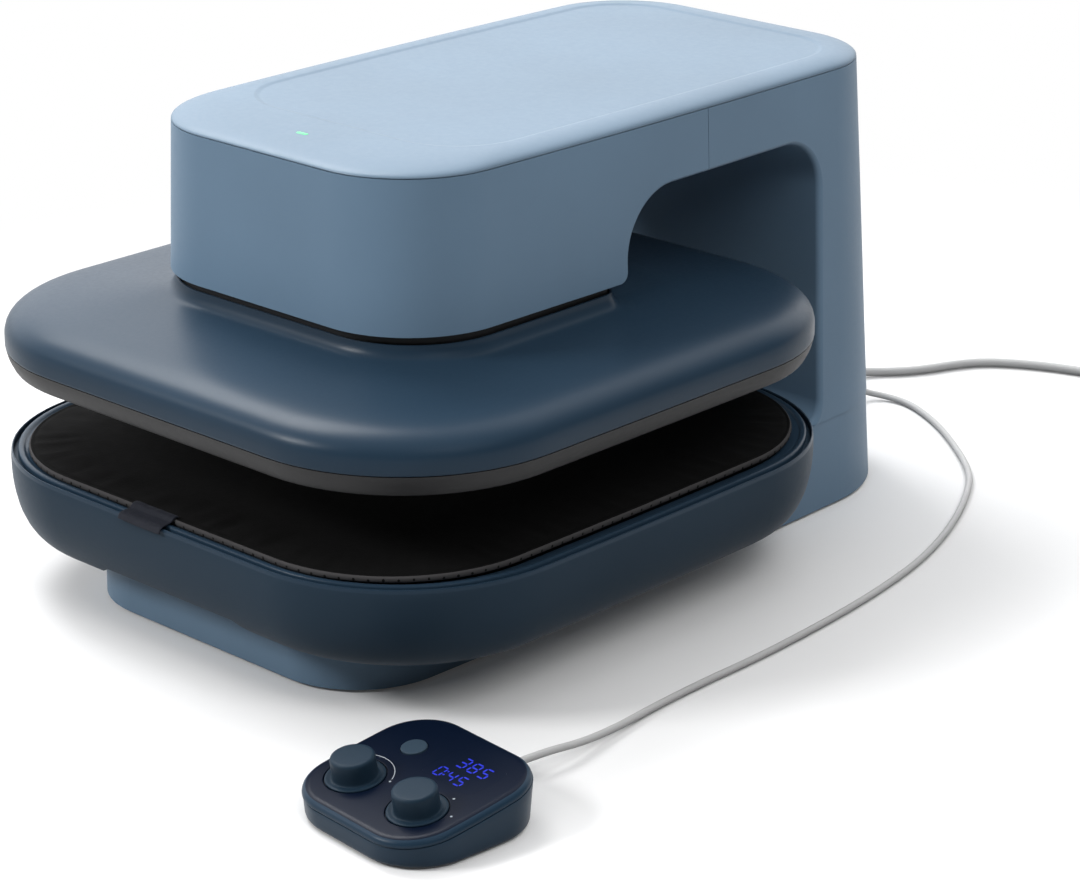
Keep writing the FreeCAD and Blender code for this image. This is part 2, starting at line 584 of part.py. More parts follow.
def slab(front, back, half, low, high):
    """A plain block used to trim shells."""
    return Part.makeBox(2 * half, back - front, high - low, Vector(-half, front, low))


Bend = namedtuple("Bend", "start middle end")


def bend(centre, radius, start, end):
    """An arc of the YZ plane between two angles in degrees."""
    def point(angle):
        turn = math.radians(angle)
        return (centre[0] + radius * math.cos(turn), centre[1] + radius * math.sin(turn))
    return Bend(point(start), point((start + end) / 2), point(end))


def prism(items, low, high):
    """A YZ outline of points and bends, filled and extruded along X."""
    def at(point):
        return Vector(low, *point)

    edges = []
    ends = [item.end if isinstance(item, Bend) else item for item in items]
    last = ends[-1]
    for item, end in zip(items, ends):
        start = item.start if isinstance(item, Bend) else item
        if math.dist(last, start) > 1e-6:
            edges.append(Part.LineSegment(at(last), at(start)).toShape())
        if isinstance(item, Bend):
            edges.append(Part.Arc(at(item.start), at(item.middle), at(item.end)).toShape())
        last = end
    return Part.Face(Part.Wire(edges)).extrude(Vector(high - low, 0, 0))


def body_half(height):
    return d.body_half_floor - d.side_lean * height


def head_front(height):
    return d.head_front_floor + d.front_lean * height


def rear(height):
    return d.rear_floor - d.rear_lean * height


def tower_outline(inset, height):
    return outline(body_half(height) - inset, head_front(height) + inset, rear(height) - inset,
                   d.body_corner_front - inset, d.body_corner_rear - d.corner_taper * height - inset,
                   d.side_bow, height)


def tower(inset, low, high):
    """Post, arm and head as one block that narrows upwards."""
    return loft([tower_outline(inset, low), tower_outline(inset, high)])


def under_arch(grow, head_floor, deck):
    """The open space below head and arm and before the post, or the same grown into the walls."""
    front_centre = (d.head_rear + d.arch_front_round, d.arch_roof - d.arch_front_round)
    rear_centre = (d.post_front - d.arch_rear_round, d.arch_roof - d.arch_rear_round)
    rounds = [bend(front_centre, d.arch_front_round + grow, 180, 90),
              bend(rear_centre, d.arch_rear_round + grow, 90, 0)]
    if grow:
        heel = [(d.head_rear - grow, head_floor)]
        foot = [(d.post_front + grow, deck)]
    else:
        heel = [bend((d.head_rear - d.head_heel, head_floor + d.head_heel), d.head_heel, -90, 0)]
        corner = bend((d.post_front - d.deck_round, d.base_top + d.deck_round), d.deck_round, 0, -90)
        foot = [corner, (corner.end[0], deck)]
    return prism([(-FAR, deck), (-FAR, head_floor)] + heel + rounds + foot, -WIDE, WIDE)


def body_shell():
    """Skin of post, arm and head, open at the top, under the head and at the base."""
    outer = tower(0, d.base_top + d.seam / 2, d.parting_height)
    outer = outer.cut(under_arch(0, d.head_bottom, d.base_top - OVER))
    inner = tower(d.wall, d.base_top - OVER, d.parting_height + OVER)
    inner = inner.cut(under_arch(d.wall, d.head_bottom - OVER, d.base_top - 2 * OVER))
    return outer.cut(inner)


def head_shell(skin):
    return skin.common(slab(-FAR, d.shell_split - d.seam / 2, WIDE, 0, FAR))


def switch_place():
    """Placement on the back of the post: local Y points out, square to the leaning wall."""
    lean = Rotation(Vector(1, 0, 0), math.degrees(math.atan(d.rear_lean)))
    return Placement(Vector(0, rear(d.switch_height), d.switch_height), lean)


def centred_box(width, depth_low, depth_high, height):
    return Part.makeBox(width, depth_high - depth_low, height, Vector(-width / 2, depth_low, -height / 2))


def post_shell(skin):
    half = d.switch_half - d.switch_lip + d.fit_gap
    tall = d.switch_tall - 2 * d.switch_lip + 2 * d.fit_gap
    hole = centred_box(2 * half, -3 * d.wall, 3 * d.wall, tall)
    hole.Placement = switch_place()
    return skin.common(slab(d.shell_split + d.seam / 2, FAR, WIDE, 0, FAR)).cut(hole)


def base_outline(inset, height):
    return outline(body_half(height) - inset, d.plinth_front + inset, rear(height) - inset,
                   d.plinth_corner - inset, d.body_corner_rear - d.corner_taper * height - inset,
                   d.side_bow, height)


def base_block(inset, low, high):
    return loft([base_outline(inset, low), base_outline(inset, high)])


def lead_holes():
    """Round holes in the base's back for the two leads."""
    turn = Vector(0, 1, 0)
    start = rear(d.lead_height) - 4 * d.base_wall
    exits = ((d.mains_x, d.mains_radius), (d.pod_lead_x, d.pod_lead_radius))
    length = 8 * d.base_wall
    holes = [Part.makeCylinder(relief_barrel(radius) + d.fit_gap, length, Vector(x, start, d.lead_height), turn)
             for x, radius in exits]
    return holes[0].fuse(holes[1])


def relief_barrel(lead_radius):
    return lead_radius + d.relief_wall


def base_shell():
    outer = base_block(0, d.ground_gap, d.base_top - d.seam / 2)
    inner = base_block(d.base_wall, d.ground_gap - OVER, d.base_top - d.base_wall)
    gap = d.frame_slot_gap
    well = slab(d.post_front + d.frame_post_gap - gap, rear(d.base_top) - d.frame_wall_gap + gap,
                d.frame_inner + d.frame_thickness + gap, d.base_top - 2 * OVER, FAR)
    return outer.cut(inner).cut(well).cut(lead_holes())


def fullness(share, power):
    """Inward share of a round edge at a share of its height."""
    return 1 - (1 - share ** power) ** (1 / power)


def lid_outline(side, nose, tail, height):
    """The parting line's outline, drawn in at the sides, the front and the back."""
    level = d.parting_height
    back_corner = d.body_corner_rear - d.corner_taper * level
    return outline(body_half(level) - side, head_front(level) + nose, rear(level) - tail,
                   d.body_corner_front - side, back_corner - side, d.side_bow, height)


def top_block(inset, low, drop):
    """The top cover's outer form, or its inner form when inset and lowered."""
    wires = []
    if low < d.cover_base:
        wires.append(lid_outline(inset, inset, inset, low))
    for share in EDGE_STEPS:
        side = d.top_side_inset * fullness(share, 2.0)
        nose = d.top_front_inset * fullness(share, 4.0)
        tail = d.top_rear_inset * fullness(share, 2.0)
        height = d.cover_base + d.top_rise * share - drop
        wires.append(lid_outline(inset + side, inset + nose, inset + tail, height))
    return loft(wires)


def light_prism(grow):
    """A pill-shaped column through the top at the status light."""
    radius = d.light_width / 2 + grow
    run = (d.light_length - d.light_width) / 2
    low, height = d.parting_height - OVER / 2, OVER * 2
    bar = Part.makeBox(2 * run, 2 * radius, height, Vector(-run, d.light_place - radius, low))
    ends = [Part.makeCylinder(radius, height, Vector(x, d.light_place, low)) for x in (-run, run)]
    return bar.fuse(ends).removeSplitter()


def top_cover():
    outer = top_block(0, d.cover_base, 0)
    inner = top_block(d.top_wall, d.parting_height - OVER, d.top_wall)
    panel = lid_outline(d.top_side_inset + d.panel_margin, d.top_front_inset + d.panel_margin,
                        d.top_rear_inset + d.panel_margin, d.cover_top - d.panel_recess)
    recess = Part.Face(panel).extrude(Vector(0, 0, OVER))
    return outer.cut(inner).cut(recess).cut(light_prism(d.running))


def status_light():
    below = slab(-FAR, FAR, WIDE, 0, d.cover_top - 2.5 * d.top_wall)
    return top_block(0, d.cover_base, 0).common(light_prism(0)).cut(below)


def foot_ring():
    up = Vector(0, 0, d.foot_height)
    hole = Part.Face(base_outline(d.foot_inset + d.foot_width, 0)).extrude(up)
    return Part.Face(base_outline(d.foot_inset, 0)).extrude(up).cut(hole)


def board_corners(front, length):
    """Places of the four bosses under a circuit board."""
    inset = d.board_boss_inset
    return [Vector(x, y, 0) for x in (inset - d.board_half, d.board_half - inset)
            for y in (front + inset, front + length - inset)]


def base_plate():
    plate = base_block(d.base_wall + d.fit_gap, d.foot_height, d.base_plate_top)
    places = board_corners(d.power_board_front, d.power_board_length)
    places += board_corners(d.control_board_front, d.control_board_length)
    up = Vector(0, 0, d.foot_height)
    bosses = [Part.makeCylinder(d.board_boss, d.board_level - d.foot_height, place + up) for place in places]
    return plate.fuse(bosses)


# Upper platen


def platen_outline(inset, height):
    return outline(d.platen_half_width - inset, -d.platen_half_depth + inset, d.platen_half_depth - inset,
                   d.platen_corner - inset, d.platen_corner - inset, d.platen_bow, height)


def dome(inset, low):
    """The cover's outer form above its lower edge, or its inner form when inset."""
    wires = [platen_outline(inset, low), platen_outline(inset, d.platen_middle)]
    for share in EDGE_STEPS[1:]:
        wires.append(platen_outline(inset + d.crown_inset * fullness(share, d.crown_power),
                                    d.platen_middle + (d.crown_rise - inset) * share))
    run = d.platen_corner - d.crown_inset - d.crown_corner
    shoulder = d.platen_middle + d.crown_rise - inset
    wires.append(platen_outline(inset + d.crown_inset + run, shoulder + d.crown_slope * run))
    return loft(wires)


def ridge_outline(inset, height):
    """Outline inside the head's lower edge."""
    return outline(body_half(d.head_bottom) - inset, head_front(d.head_bottom) + inset,
                   d.head_rear + d.ridge_back - inset, d.body_corner_front - inset, d.ridge_heel - inset,
                   d.side_bow, height)


def platen_cover():
    """Domed cover with a soft ridge up to the sleeve, a floor under the sleeve, and bosses on the crosshead."""
    rim = d.ridge_reach - d.ridge_width / 2
    foot = d.platen_middle + d.crown_rise + d.crown_slope * d.crown_corner
    rise = d.ridge_top - foot
    ridge = loft([ridge_outline(rim - out, foot + rise * share) for out, share in RIDGE_FOOT])
    outer = dome(0, d.cover_bottom).fuse(ridge)
    seat = Part.Face(ridge_outline(rim + d.ridge_width, d.moat_floor)).extrude(Vector(0, 0, d.moat_gap))
    shape = outer.cut(seat).cut(dome(d.cover_wall, d.cover_bottom - OVER))
    holes = [Part.makeCylinder(d.rod_radius + d.fit_gap, FAR, Vector(x, y, 0))
             for x in (-d.guide_x, d.guide_x) for y in (-d.guide_y, d.guide_y)]
    holes.append(Part.makeCylinder(d.column_radius + d.fit_gap, FAR))
    height = d.moat_floor - d.cover_wall / 2 - d.crosshead_top
    bosses = [Part.makeCylinder(d.cover_boss, height, Vector(x, y, d.crosshead_top))
              for x in (-d.cover_boss_x, d.cover_boss_x) for y in (-d.standoff_y, d.standoff_y)]
    return shape.cut(holes).fuse(bosses)


def heat_shield():
    """The dark lower ring, drawn in towards its lower edge."""
    fall = d.platen_middle - d.shield_bottom

    def inset(height):
        return d.shield_inset * ((d.platen_middle - height) / fall) ** 2

    top = d.cover_bottom - d.seam
    heights = [d.shield_bottom + (top - d.shield_bottom) * share for share in (0, 0.3, 0.6, 1)]
    outer = loft([platen_outline(inset(height), height) for height in heights])
    hole = Part.Face(platen_outline(d.shield_inset + d.shield_wall, 0)).extrude(Vector(0, 0, FAR))
    return outer.cut(hole)


def sleeve_outline(inset, height):
    gap = d.wall + d.sleeve_gap + inset
    return outline(body_half(d.parting_height) - gap, head_front(d.parting_height) + gap,
                   d.head_rear - gap, d.body_corner_front - gap, d.sleeve_heel, d.side_bow, height)


def platen_sleeve():
    outer = Part.Face(sleeve_outline(0, d.moat_floor)).extrude(Vector(0, 0, d.sleeve_top - d.moat_floor))
    return outer.cut(Part.Face(sleeve_outline(d.sleeve_wall, 0)).extrude(Vector(0, 0, FAR)))


def square_outline(half, corner, height):
    return outline(half, -half, half, corner, corner, d.platen_bow, height)


def heater_path(height):
    """Three bends and four legs of the tubular heater."""
    legs = [(k - 1.5) * d.element_pitch for k in range(4)]
    turn = d.element_pitch / 2
    edges = []
    for k, x in enumerate(legs):
        way = 1 if k % 2 == 0 else -1
        start, end = Vector(x, -way * d.element_leg, height), Vector(x, way * d.element_leg, height)
        edges.append(Part.LineSegment(start, end).toShape())
        if k < 3:
            edges.append(Part.Arc(end, Vector(x + turn, way * (d.element_leg + turn), height),
                                  Vector(legs[k + 1], way * d.element_leg, height)).toShape())
    return Part.Wire(edges)


def heater(grow):
    radius = d.element_radius + grow
    path = heater_path(d.plate_top)
    start = Vector(-1.5 * d.element_pitch, -d.element_leg, d.plate_top)
    circle = Part.Wire(Part.Circle(start, Vector(0, 1, 0), radius).toShape())
    return path.makePipeShell([circle], True, False)


def heat_plate():
    bevel = d.plate_round
    block = loft([square_outline(d.plate_half - bevel, d.plate_corner - bevel, d.plate_bottom),
                  square_outline(d.plate_half, d.plate_corner, d.plate_bottom + bevel),
                  square_outline(d.plate_half, d.plate_corner, d.plate_top)])
    return block.cut(heater(d.running))


def terminal_places():
    """The heater's two terminals, just inside the ends of its outer legs."""
    leg = 1.5 * d.element_pitch
    return [Vector(x, d.terminal_inset - d.element_leg, 0) for x in (-leg, leg)]


def standoff_places():
    return [Vector(x, y, 0) for x in (-d.standoff_x, d.standoff_x) for y in (-d.standoff_y, d.standoff_y)]


def ceramic_board():
    low = d.board_bottom
    block = Part.Face(square_outline(d.plate_half - d.board_margin, d.plate_corner - d.board_margin, low))
    block = block.extrude(Vector(0, 0, d.board_thickness))
    holes = [Part.makeCylinder(d.standoff_radius + d.fit_gap, FAR, place) for place in standoff_places()]
    holes.append(Part.makeCylinder(d.sensor_radius + 2 * d.fit_gap, FAR, Vector(0, d.sensor_y, 0)))
    holes.append(Part.makeCylinder(d.cutout_radius + 2 * d.fit_gap, FAR, Vector(0, -d.sensor_y, 0)))
    holes += [Part.makeCylinder(d.terminal_radius + 2 * d.fit_gap, FAR, place) for place in terminal_places()]
    return block.cut(holes)


def heating_element():
    up = Vector(0, 0, d.plate_top)
    pins = [Part.makeCylinder(d.terminal_radius, d.crosshead_top - d.plate_top, place + up)
            for place in terminal_places()]
    return heater(0).fuse(pins)


# Lower tray


def tray_outline(inset, height):
    return outline(d.tray_half_width - inset, d.tray_front + inset, d.tray_back - inset,
                   d.tray_corner - inset, d.tray_corner - inset, d.tray_bow, height)


def bowl(inset, floor, top):
    """The tray's outer form, or its inner form when inset."""
    depth = d.tray_middle - d.tray_bottom
    wires = []
    for share in reversed(EDGE_STEPS):
        height = d.tray_middle - depth * share
        drawn = inset + d.tray_inset * fullness(share, d.tray_power)
        wires.append(tray_outline(drawn, max(height, floor)))
        if height <= floor:
            del wires[:-1]
    wires.append(tray_outline(inset + d.rim_inset, d.tray_rim))
    if top > d.tray_rim:
        wires.append(tray_outline(inset + d.rim_inset, top))
    return loft(wires)


def notch(grow):
    """Finger notch under the tray's front, with sloped ends."""
    half, top = d.notch_half + grow, d.notch_top + grow
    low = d.tray_bottom - OVER
    slope = d.notch_flare / (d.notch_top - d.tray_bottom)
    reach = half + slope * (top - low)
    corners = [(-reach, low), (-half, top), (half, top), (reach, low), (-reach, low)]
    wire = Part.makePolygon([Vector(x, -FAR, z) for x, z in corners])
    return Part.Face(wire).extrude(Vector(0, FAR + d.notch_back + grow, 0))


def tray_shell():
    pocket = base_block(-d.fit_gap, 0, d.base_top + d.fit_gap)
    lining = base_block(-d.fit_gap - d.tray_wall, 0, d.base_top + d.fit_gap + d.tray_wall)
    inner = bowl(d.tray_wall, d.tray_bottom + d.tray_wall, d.tray_rim + OVER)
    inner = inner.cut(lining).cut(notch(d.tray_wall))
    lip = Part.Face(tray_outline(d.rim_inset + d.rim_lip, d.bezel_shelf)).extrude(Vector(0, 0, OVER))
    return bowl(0, d.tray_bottom, d.tray_rim).cut(inner).cut(lip).cut(pocket).cut(notch(0))


def bezel_hole(height, grow=0.0):
    corner = d.bezel_corner + grow
    return outline(d.bezel_inner + grow, d.bezel_front - grow, grow - d.bezel_front, corner, corner,
                   d.tray_bow, height)


def tray_bezel():
    edge = d.rim_inset + d.rim_lip + d.fit_gap
    low = d.bezel_shelf + d.fit_gap
    ring = loft([tray_outline(edge, low), tray_outline(edge, d.bezel_crest - 0.6),
                 tray_outline(edge + 0.7, d.bezel_crest - 0.15), tray_outline(edge + 2.2, d.bezel_crest)])
    skirt = Part.Face(bezel_hole(d.mat_bottom, 2.0)).extrude(Vector(0, 0, low - d.mat_bottom + 1))
    hole = Part.Face(bezel_hole(0)).extrude(Vector(0, 0, FAR))
    slope = loft([bezel_hole(d.bezel_edge), tray_outline(edge + 3.0, d.bezel_crest + 0.05)])
    return ring.fuse(skirt).cut(hole).cut(slope)


def press_bed():
    """Plate with crossing ribs beneath, on the tray's raised floor."""
    low = d.base_top + 2 * d.fit_gap + d.tray_wall
    plate = Part.Face(square_outline(d.bed_half, d.bed_corner, d.bed_top - d.bed_thickness))
    plate = plate.extrude(Vector(0, 0, d.bed_thickness))
    body = Part.Face(square_outline(d.bed_half - 2, d.bed_corner - 2, low))
    body = body.extrude(Vector(0, 0, d.bed_top - low - 1))
    count = int(d.bed_half // d.rib_pitch)
    ribs = []
    for k in range(-count, count + 1):
        place = k * d.rib_pitch
        ribs.append(slab(place - d.rib_width / 2, place + d.rib_width / 2, WIDE, 0, d.bed_top - 1))
        rib = slab(-WIDE, WIDE, d.rib_width / 2, 0, d.bed_top - 1)
        rib.translate(Vector(place, 0, 0))
        ribs.append(rib)
    return plate.fuse(body.common(ribs[0].fuse(ribs[1:]))).removeSplitter()


def press_mat():
    """Thick mat with drawn-in sides and a slight crown."""
    def mat(inset, height):
        return outline(d.mat_half_width - inset, -d.mat_half_depth + inset, d.mat_half_depth - inset,
                       d.mat_corner - inset, d.mat_corner - inset, d.tray_bow, height)

    soft = d.mat_round
    wires = [
        mat(soft, d.mat_bottom), mat(soft / 5, d.mat_bottom + soft * 0.6),
        mat(0, d.mat_bottom + d.mat_edge / 2),
        mat(soft / 5, d.mat_edge_top - soft * 0.6), mat(soft, d.mat_edge_top),
    ]
    for share in (0.2, 0.45, 0.75, 1.0):
        rise = d.mat_crown * math.sin(math.pi / 2 * share)
        wires.append(mat(soft + (d.crown_run - soft) * share, d.mat_edge_top + rise))
    return loft(wires)


def mat_tag():
    """Bare fabric tag that lies over the mat's edge and the bezel and bends down over the rim."""
    lower = [
        (d.tag_overlap - d.mat_half_depth, d.mat_edge_top + 2 * d.fit_gap),
        (-d.mat_half_depth - 0.5, d.mat_edge_top + d.fit_gap),
        (d.bezel_front - 6, d.bezel_crest + d.fit_gap),
        (d.tray_front - d.fit_gap, d.bezel_crest - 0.2),
        (d.tray_front - 2.2, d.bezel_crest - 2.6),
    ]
    upper = [(y, z + d.tag_thickness) for y, z in lower[:-1]]
    upper.append((lower[-1][0] - d.tag_thickness / 2, lower[-1][1] + d.tag_thickness))
    return prism(lower + upper[::-1], d.tag_place - d.tag_width / 2, d.tag_place + d.tag_width / 2)


# Drive


def involute(base, radius):
    """Angle of the involute of a base circle at a radius."""
    roll = math.sqrt(max((radius / base) ** 2 - 1, 0.0))
    return roll - math.atan(roll)


def gear(teeth, bore, height, start):
    """Spur gear with involute flanks; a tooth points at the start angle."""
    pitch = d.gear_module * teeth / 2
    base = pitch * math.cos(math.radians(20))
    root, tip = pitch - 1.25 * d.gear_module, pitch + 0.95 * d.gear_module
    half = math.pi / (2 * teeth) - d.gear_backlash / (2 * pitch) + involute(base, pitch)
    foot = max(base, root)

    def point(radius, angle):
        return Vector(radius * math.cos(angle), radius * math.sin(angle), 0)

    def flank(side, centre):
        radii = (foot, (foot + tip) / 2, tip)
        return [point(radius, centre + side * (half - involute(base, radius))) for radius in radii]

    edges = []
    for k in range(int(teeth)):
        centre = start + 2 * math.pi * k / teeth
        following = centre + 2 * math.pi / teeth
        low, high = flank(-1, centre), flank(1, centre)
        after = flank(-1, following)
        middle = centre + math.pi / teeth
        valley = [point(root, centre + half), point(root, middle), point(root, following - half)]
        edges += [Part.Arc(*low).toShape(), Part.Arc(low[2], point(tip, centre), high[2]).toShape(),
                  Part.Arc(*high[::-1]).toShape()]
        if math.dist(high[0], valley[0]) > 1e-6:
            edges.append(Part.LineSegment(high[0], valley[0]).toShape())
        edges.append(Part.Arc(*valley).toShape())
        if math.dist(valley[2], after[0]) > 1e-6:
            edges.append(Part.LineSegment(valley[2], after[0]).toShape())
    blank = Part.Face(Part.Wire(edges)).extrude(Vector(0, 0, height))
    return blank.cut(Part.makeCylinder(bore, height)) if bore else blank


# Cords


def rounded_path(points):
    """Straight runs joined by tangent arcs, each as large as its two runs allow."""
    edges = []
    radii = []
    last = points[0]
    for before, corner, after in zip(points, points[1:], points[2:]):
        way_in, way_out = (corner - before).normalize(), (after - corner).normalize()
        turn = way_in.getAngle(way_out)
        reach = 0.45 * min((corner - before).Length, (after - corner).Length)
        radius = reach / math.tan(turn / 2)
        start, end = corner - way_in * reach, corner + way_out * reach
        inward = (way_out - way_in).normalize()
        middle = corner + inward * (radius / math.cos(turn / 2) - radius)
        edges.append(Part.LineSegment(last, start).toShape())
        edges.append(Part.Arc(start, middle, end).toShape())
        radii.append(radius)
        last = end
    edges.append(Part.LineSegment(last, points[-1]).toShape())
    return Part.Wire(edges), radii


def tube(label, path, radius):
    """A round tube along a path, its volume compared with section times length."""
    start = path.OrderedEdges[0]
    place, way = start.valueAt(start.FirstParameter), start.tangentAt(start.FirstParameter)
    if (start.firstVertex(True).Point - place).Length > 1e-6:
        place, way = start.valueAt(start.LastParameter), start.tangentAt(start.LastParameter) * -1
    section = Part.Wire(Part.Circle(place, way, radius).toShape())
    made = path.makePipeShell([section], True, False)
    share = made.Volume / (math.pi * radius ** 2 * path.Length)
    print(f"{label}: length {path.Length:.0f} mm, volume over section times length {share:.4f}")
    return made


def lead(label, points, radius):
    path, radii = rounded_path(points)
    print(f"{label}: radii " + " ".join(f"{value:.0f}" for value in radii))
    return solid(label, tube(label, path, radius))


def biarc(start, way_in, end, way_out):
    """Two tangent arcs between two points with given directions."""
    span = end - start
    total = way_in + way_out
    square = 2 * (1 - way_in.dot(way_out))
    along = span.dot(total)
    if square > 1e-9:
        reach = (math.sqrt(along * along + square * span.dot(span)) - along) / square
    else:
        reach = span.dot(span) / (2 * along)
    joint = (start + end + (way_in - way_out) * reach) * 0.5

    def arc(first, way, last):
        chord = last - first
        cosine = chord.dot(way) / chord.Length
        sine = math.sqrt(max(1 - cosine * cosine, 0.0))
        if sine < 1e-6:
            return Part.LineSegment(first, last).toShape()
        side = (chord - way * chord.dot(way)).normalize()
        across = way * (chord.dot(side) / chord.Length) - side * cosine
        sagitta = chord.Length / 2 * (1 - cosine) / sine
        return Part.Arc(first, (first + last) * 0.5 + across * sagitta, last).toShape()

    return [arc(start, way_in, joint), arc(joint, biarc_way(start, way_in, joint), end)]


def biarc_way(start, way, end):
    """Direction at the end of the arc that leaves a point in a given direction."""
    chord = (end - start).normalize()
    return chord * (2 * chord.dot(way)) - way


def coil_point(turns):
    """Middle of the lead in the coil: in along the floor, up a layer, and out again on top."""
    pitch = 2 * d.mains_radius + d.coil_gap
    outer = d.coil_outer - d.mains_radius
    inward = min(turns, INWARD_TURNS)
    outward = max(turns - INWARD_TURNS - REVERSAL, 0.0)
    climb = min(max((turns - INWARD_TURNS) / REVERSAL, 0.0), 1.0)
    dip = 0.2 * pitch * math.sin(math.pi * climb)
    radius = outer - pitch * inward + pitch * outward - dip
    height = floor_level(d.mains_radius) + pitch * (1 - math.cos(math.pi * climb)) / 2
    angle = 2 * math.pi * turns - math.pi / 2
    return Vector(d.coil_x + radius * math.cos(angle), d.coil_y + radius * math.sin(angle), height)


def floor_level(radius):
    """Height of a lead's middle where it lies on the floor."""
    return radius + 0.1


def coil_ends():
    """Straight ends of the coil: one lead diameter at the start, and a tail that clears the lower layer."""
    first, last = coil_point(0), coil_point(d.coil_turns)
    return first - Vector(2 * d.mains_radius, 0, 0), last + Vector(0, d.coil_tail, 0)


def coil_path():
    quarters = int(round(4 * d.coil_turns))
    points = [coil_point(k / 4) for k in range(quarters + 1)]
    ways = [(coil_point(k / 4 + 0.02) - coil_point(k / 4 - 0.02)).normalize() for k in range(quarters + 1)]
    ways[0], ways[-1] = Vector(1, 0, 0), Vector(0, 1, 0)
    start, end = coil_ends()
    edges = [Part.LineSegment(start, points[0]).toShape()]
    for k in range(quarters):
        edges += biarc(points[k], ways[k], points[k + 1], ways[k + 1])
    edges.append(Part.LineSegment(points[-1], end).toShape())
    return Part.Wire(edges)


def least_gap(path, radius):
    """Least gap between two stretches of a tube that lie beside each other."""
    step = 2.0
    points = path.discretize(Distance=step)
    apart = int(8 * radius / step)
    count = len(points)
    least = min((points[i] - points[j]).Length for i in range(count) for j in range(i + apart, count))
    return least - 2 * radius


# Control pod


def pod_place():
    return Placement(Vector(d.pod_x, d.pod_y, 0), Rotation(Vector(0, 0, 1), d.pod_turn))


def pod_top_place():
    """Placement of the pod's sloping seam plane: local Z is square to its top."""
    return pod_place() * Placement(Vector(0, 0, d.pod_seam_height), Rotation(Vector(1, 0, 0), d.pod_slope))


def pod_outline(inset, height):
    half = d.pod_half_floor - d.pod_lean * height - inset
    depth = d.pod_half_depth - inset
    corner = d.pod_foot_corner - d.pod_taper * height - inset
    return outline(half, -depth, depth, corner, corner, d.pod_bow, height)


def above_seam(offset):
    """Everything above the sloping seam plane, in the pod's own frame."""
    block = slab(-WIDE, WIDE, WIDE, offset, FAR)
    block.Placement = Placement(Vector(0, 0, d.pod_seam_height), Rotation(Vector(1, 0, 0), d.pod_slope))
    return block


def pod_base():
    """The pod's lower shell, cut at the sloping seam, with the posts that carry the board."""
    low, top = d.pod_floor_gap, d.pod_seam_height + OVER
    outer = loft([pod_outline(d.pod_foot_inset, low), pod_outline(0, low + 2 * d.pod_foot_inset),
                  pod_outline(0, top)])
    inner = loft([pod_outline(1.5 * d.pod_wall, low + d.pod_wall),
                  pod_outline(d.pod_wall, low + 1.75 * d.pod_wall), pod_outline(d.pod_wall, top)])
    shell = outer.cut(inner).cut(above_seam(-d.seam / 2))
    over_posts = above_seam(d.pod_board_bottom)
    posts = [Part.makeCylinder(d.pod_post, top, Vector(x, y, low + d.pod_wall / 2)).cut(over_posts)
             for x in (-d.pod_post_x, d.pod_post_x) for y in (-d.pod_post_y, d.pod_post_y)]
    start = Vector(d.pod_lead_side, d.pod_half_depth - 4 * d.pod_wall, d.pod_lead_entry)
    hole = Part.makeCylinder(boot_radius() + d.fit_gap, 8 * d.pod_wall, start, Vector(0, 1, 0))
    return shell.fuse(posts).cut(hole)


def boot_radius():
    return relief_barrel(d.pod_lead_radius) - d.relief_wall / 2


def pod_cover_block(inset, low):
    """The pod cover's form over a height, or its inner form when inset and carried below the seam."""
    half, depth = d.pod_half_width - inset, d.pod_half_depth / math.cos(math.radians(d.pod_slope)) - inset
    top = d.pod_cover_rise - inset
    foot = max(low, 0)
    corner = d.pod_corner - inset
    wires = []
    if low < foot:
        wires.append(outline(half, -depth, depth, corner, corner, d.pod_bow, low))
    for share in EDGE_STEPS:
        drawn = d.pod_cover_inset * fullness(share, 2.2)
        level = foot + (top - foot) * share
        wires.append(outline(half - drawn, -depth + drawn, depth - drawn,
                             corner - drawn, corner - drawn, d.pod_bow, level))
    return loft(wires)


def dial_places():
    return [Vector(x, d.dial_y, 0) for x in (d.dial_left, d.dial_right)]


def pod_cover():
    inner = pod_cover_block(d.pod_wall, -OVER)
    below, floor = Vector(0, 0, d.well_floor - d.well_depth), Vector(0, 0, d.well_floor)
    linings = [Part.makeCylinder(d.dial_well + d.pod_wall, OVER, place + below) for place in dial_places()]
    shape = pod_cover_block(0, d.seam / 2).cut(inner.cut(linings))
    tools = [Part.makeCylinder(d.dial_well, OVER, place + floor) for place in dial_places()]
    tools += [Part.makeCylinder(d.spindle_radius + d.fit_gap, OVER, place) for place in dial_places()]
    tools.append(Part.makeCylinder(d.button_radius + d.button_gap, OVER, Vector(d.button_x, d.button_y, 0)))
    recess = window_block(2 * d.running, d.pod_cover_rise - d.window_thickness, OVER)
    return shape.cut(tools).cut(recess).cut(window_block(-d.window_ledge, -1, OVER))


def window_block(grow, low, height):
    """Rounded block over the display, grown on every side."""
    half, depth = d.window_half_width + grow, d.window_half_depth + grow
    corner = d.window_corner + grow
    wire = outline(half, d.window_y - depth, d.window_y + depth, corner, corner, FAR, low)
    block = Part.Face(wire).extrude(Vector(0, 0, height))
    block.translate(Vector(d.window_x, 0, 0))
    return block


def pod_board():
    """The pod's board with the display and the button's switch on it."""
    sizes = (d.pod_half_width, d.pod_half_depth, d.pod_corner)
    half, depth, corner = (size - d.pod_board_margin for size in sizes)
    plate = Part.Face(outline(half, -depth, depth, corner, corner, d.pod_bow, d.pod_board_bottom))
    plate = plate.extrude(Vector(0, 0, d.pcb))
    under_window = d.pod_cover_rise - d.window_thickness - d.fit_gap
    display = window_block(-1.5 * d.window_ledge, d.pod_board_top, under_window - d.pod_board_top)
    side = d.switch_pad
    corner = Vector(d.button_x - side / 2, d.button_y - side / 2, d.pod_board_top)
    return plate.fuse([display, Part.makeBox(side, side, d.switch_pad_height, corner)])


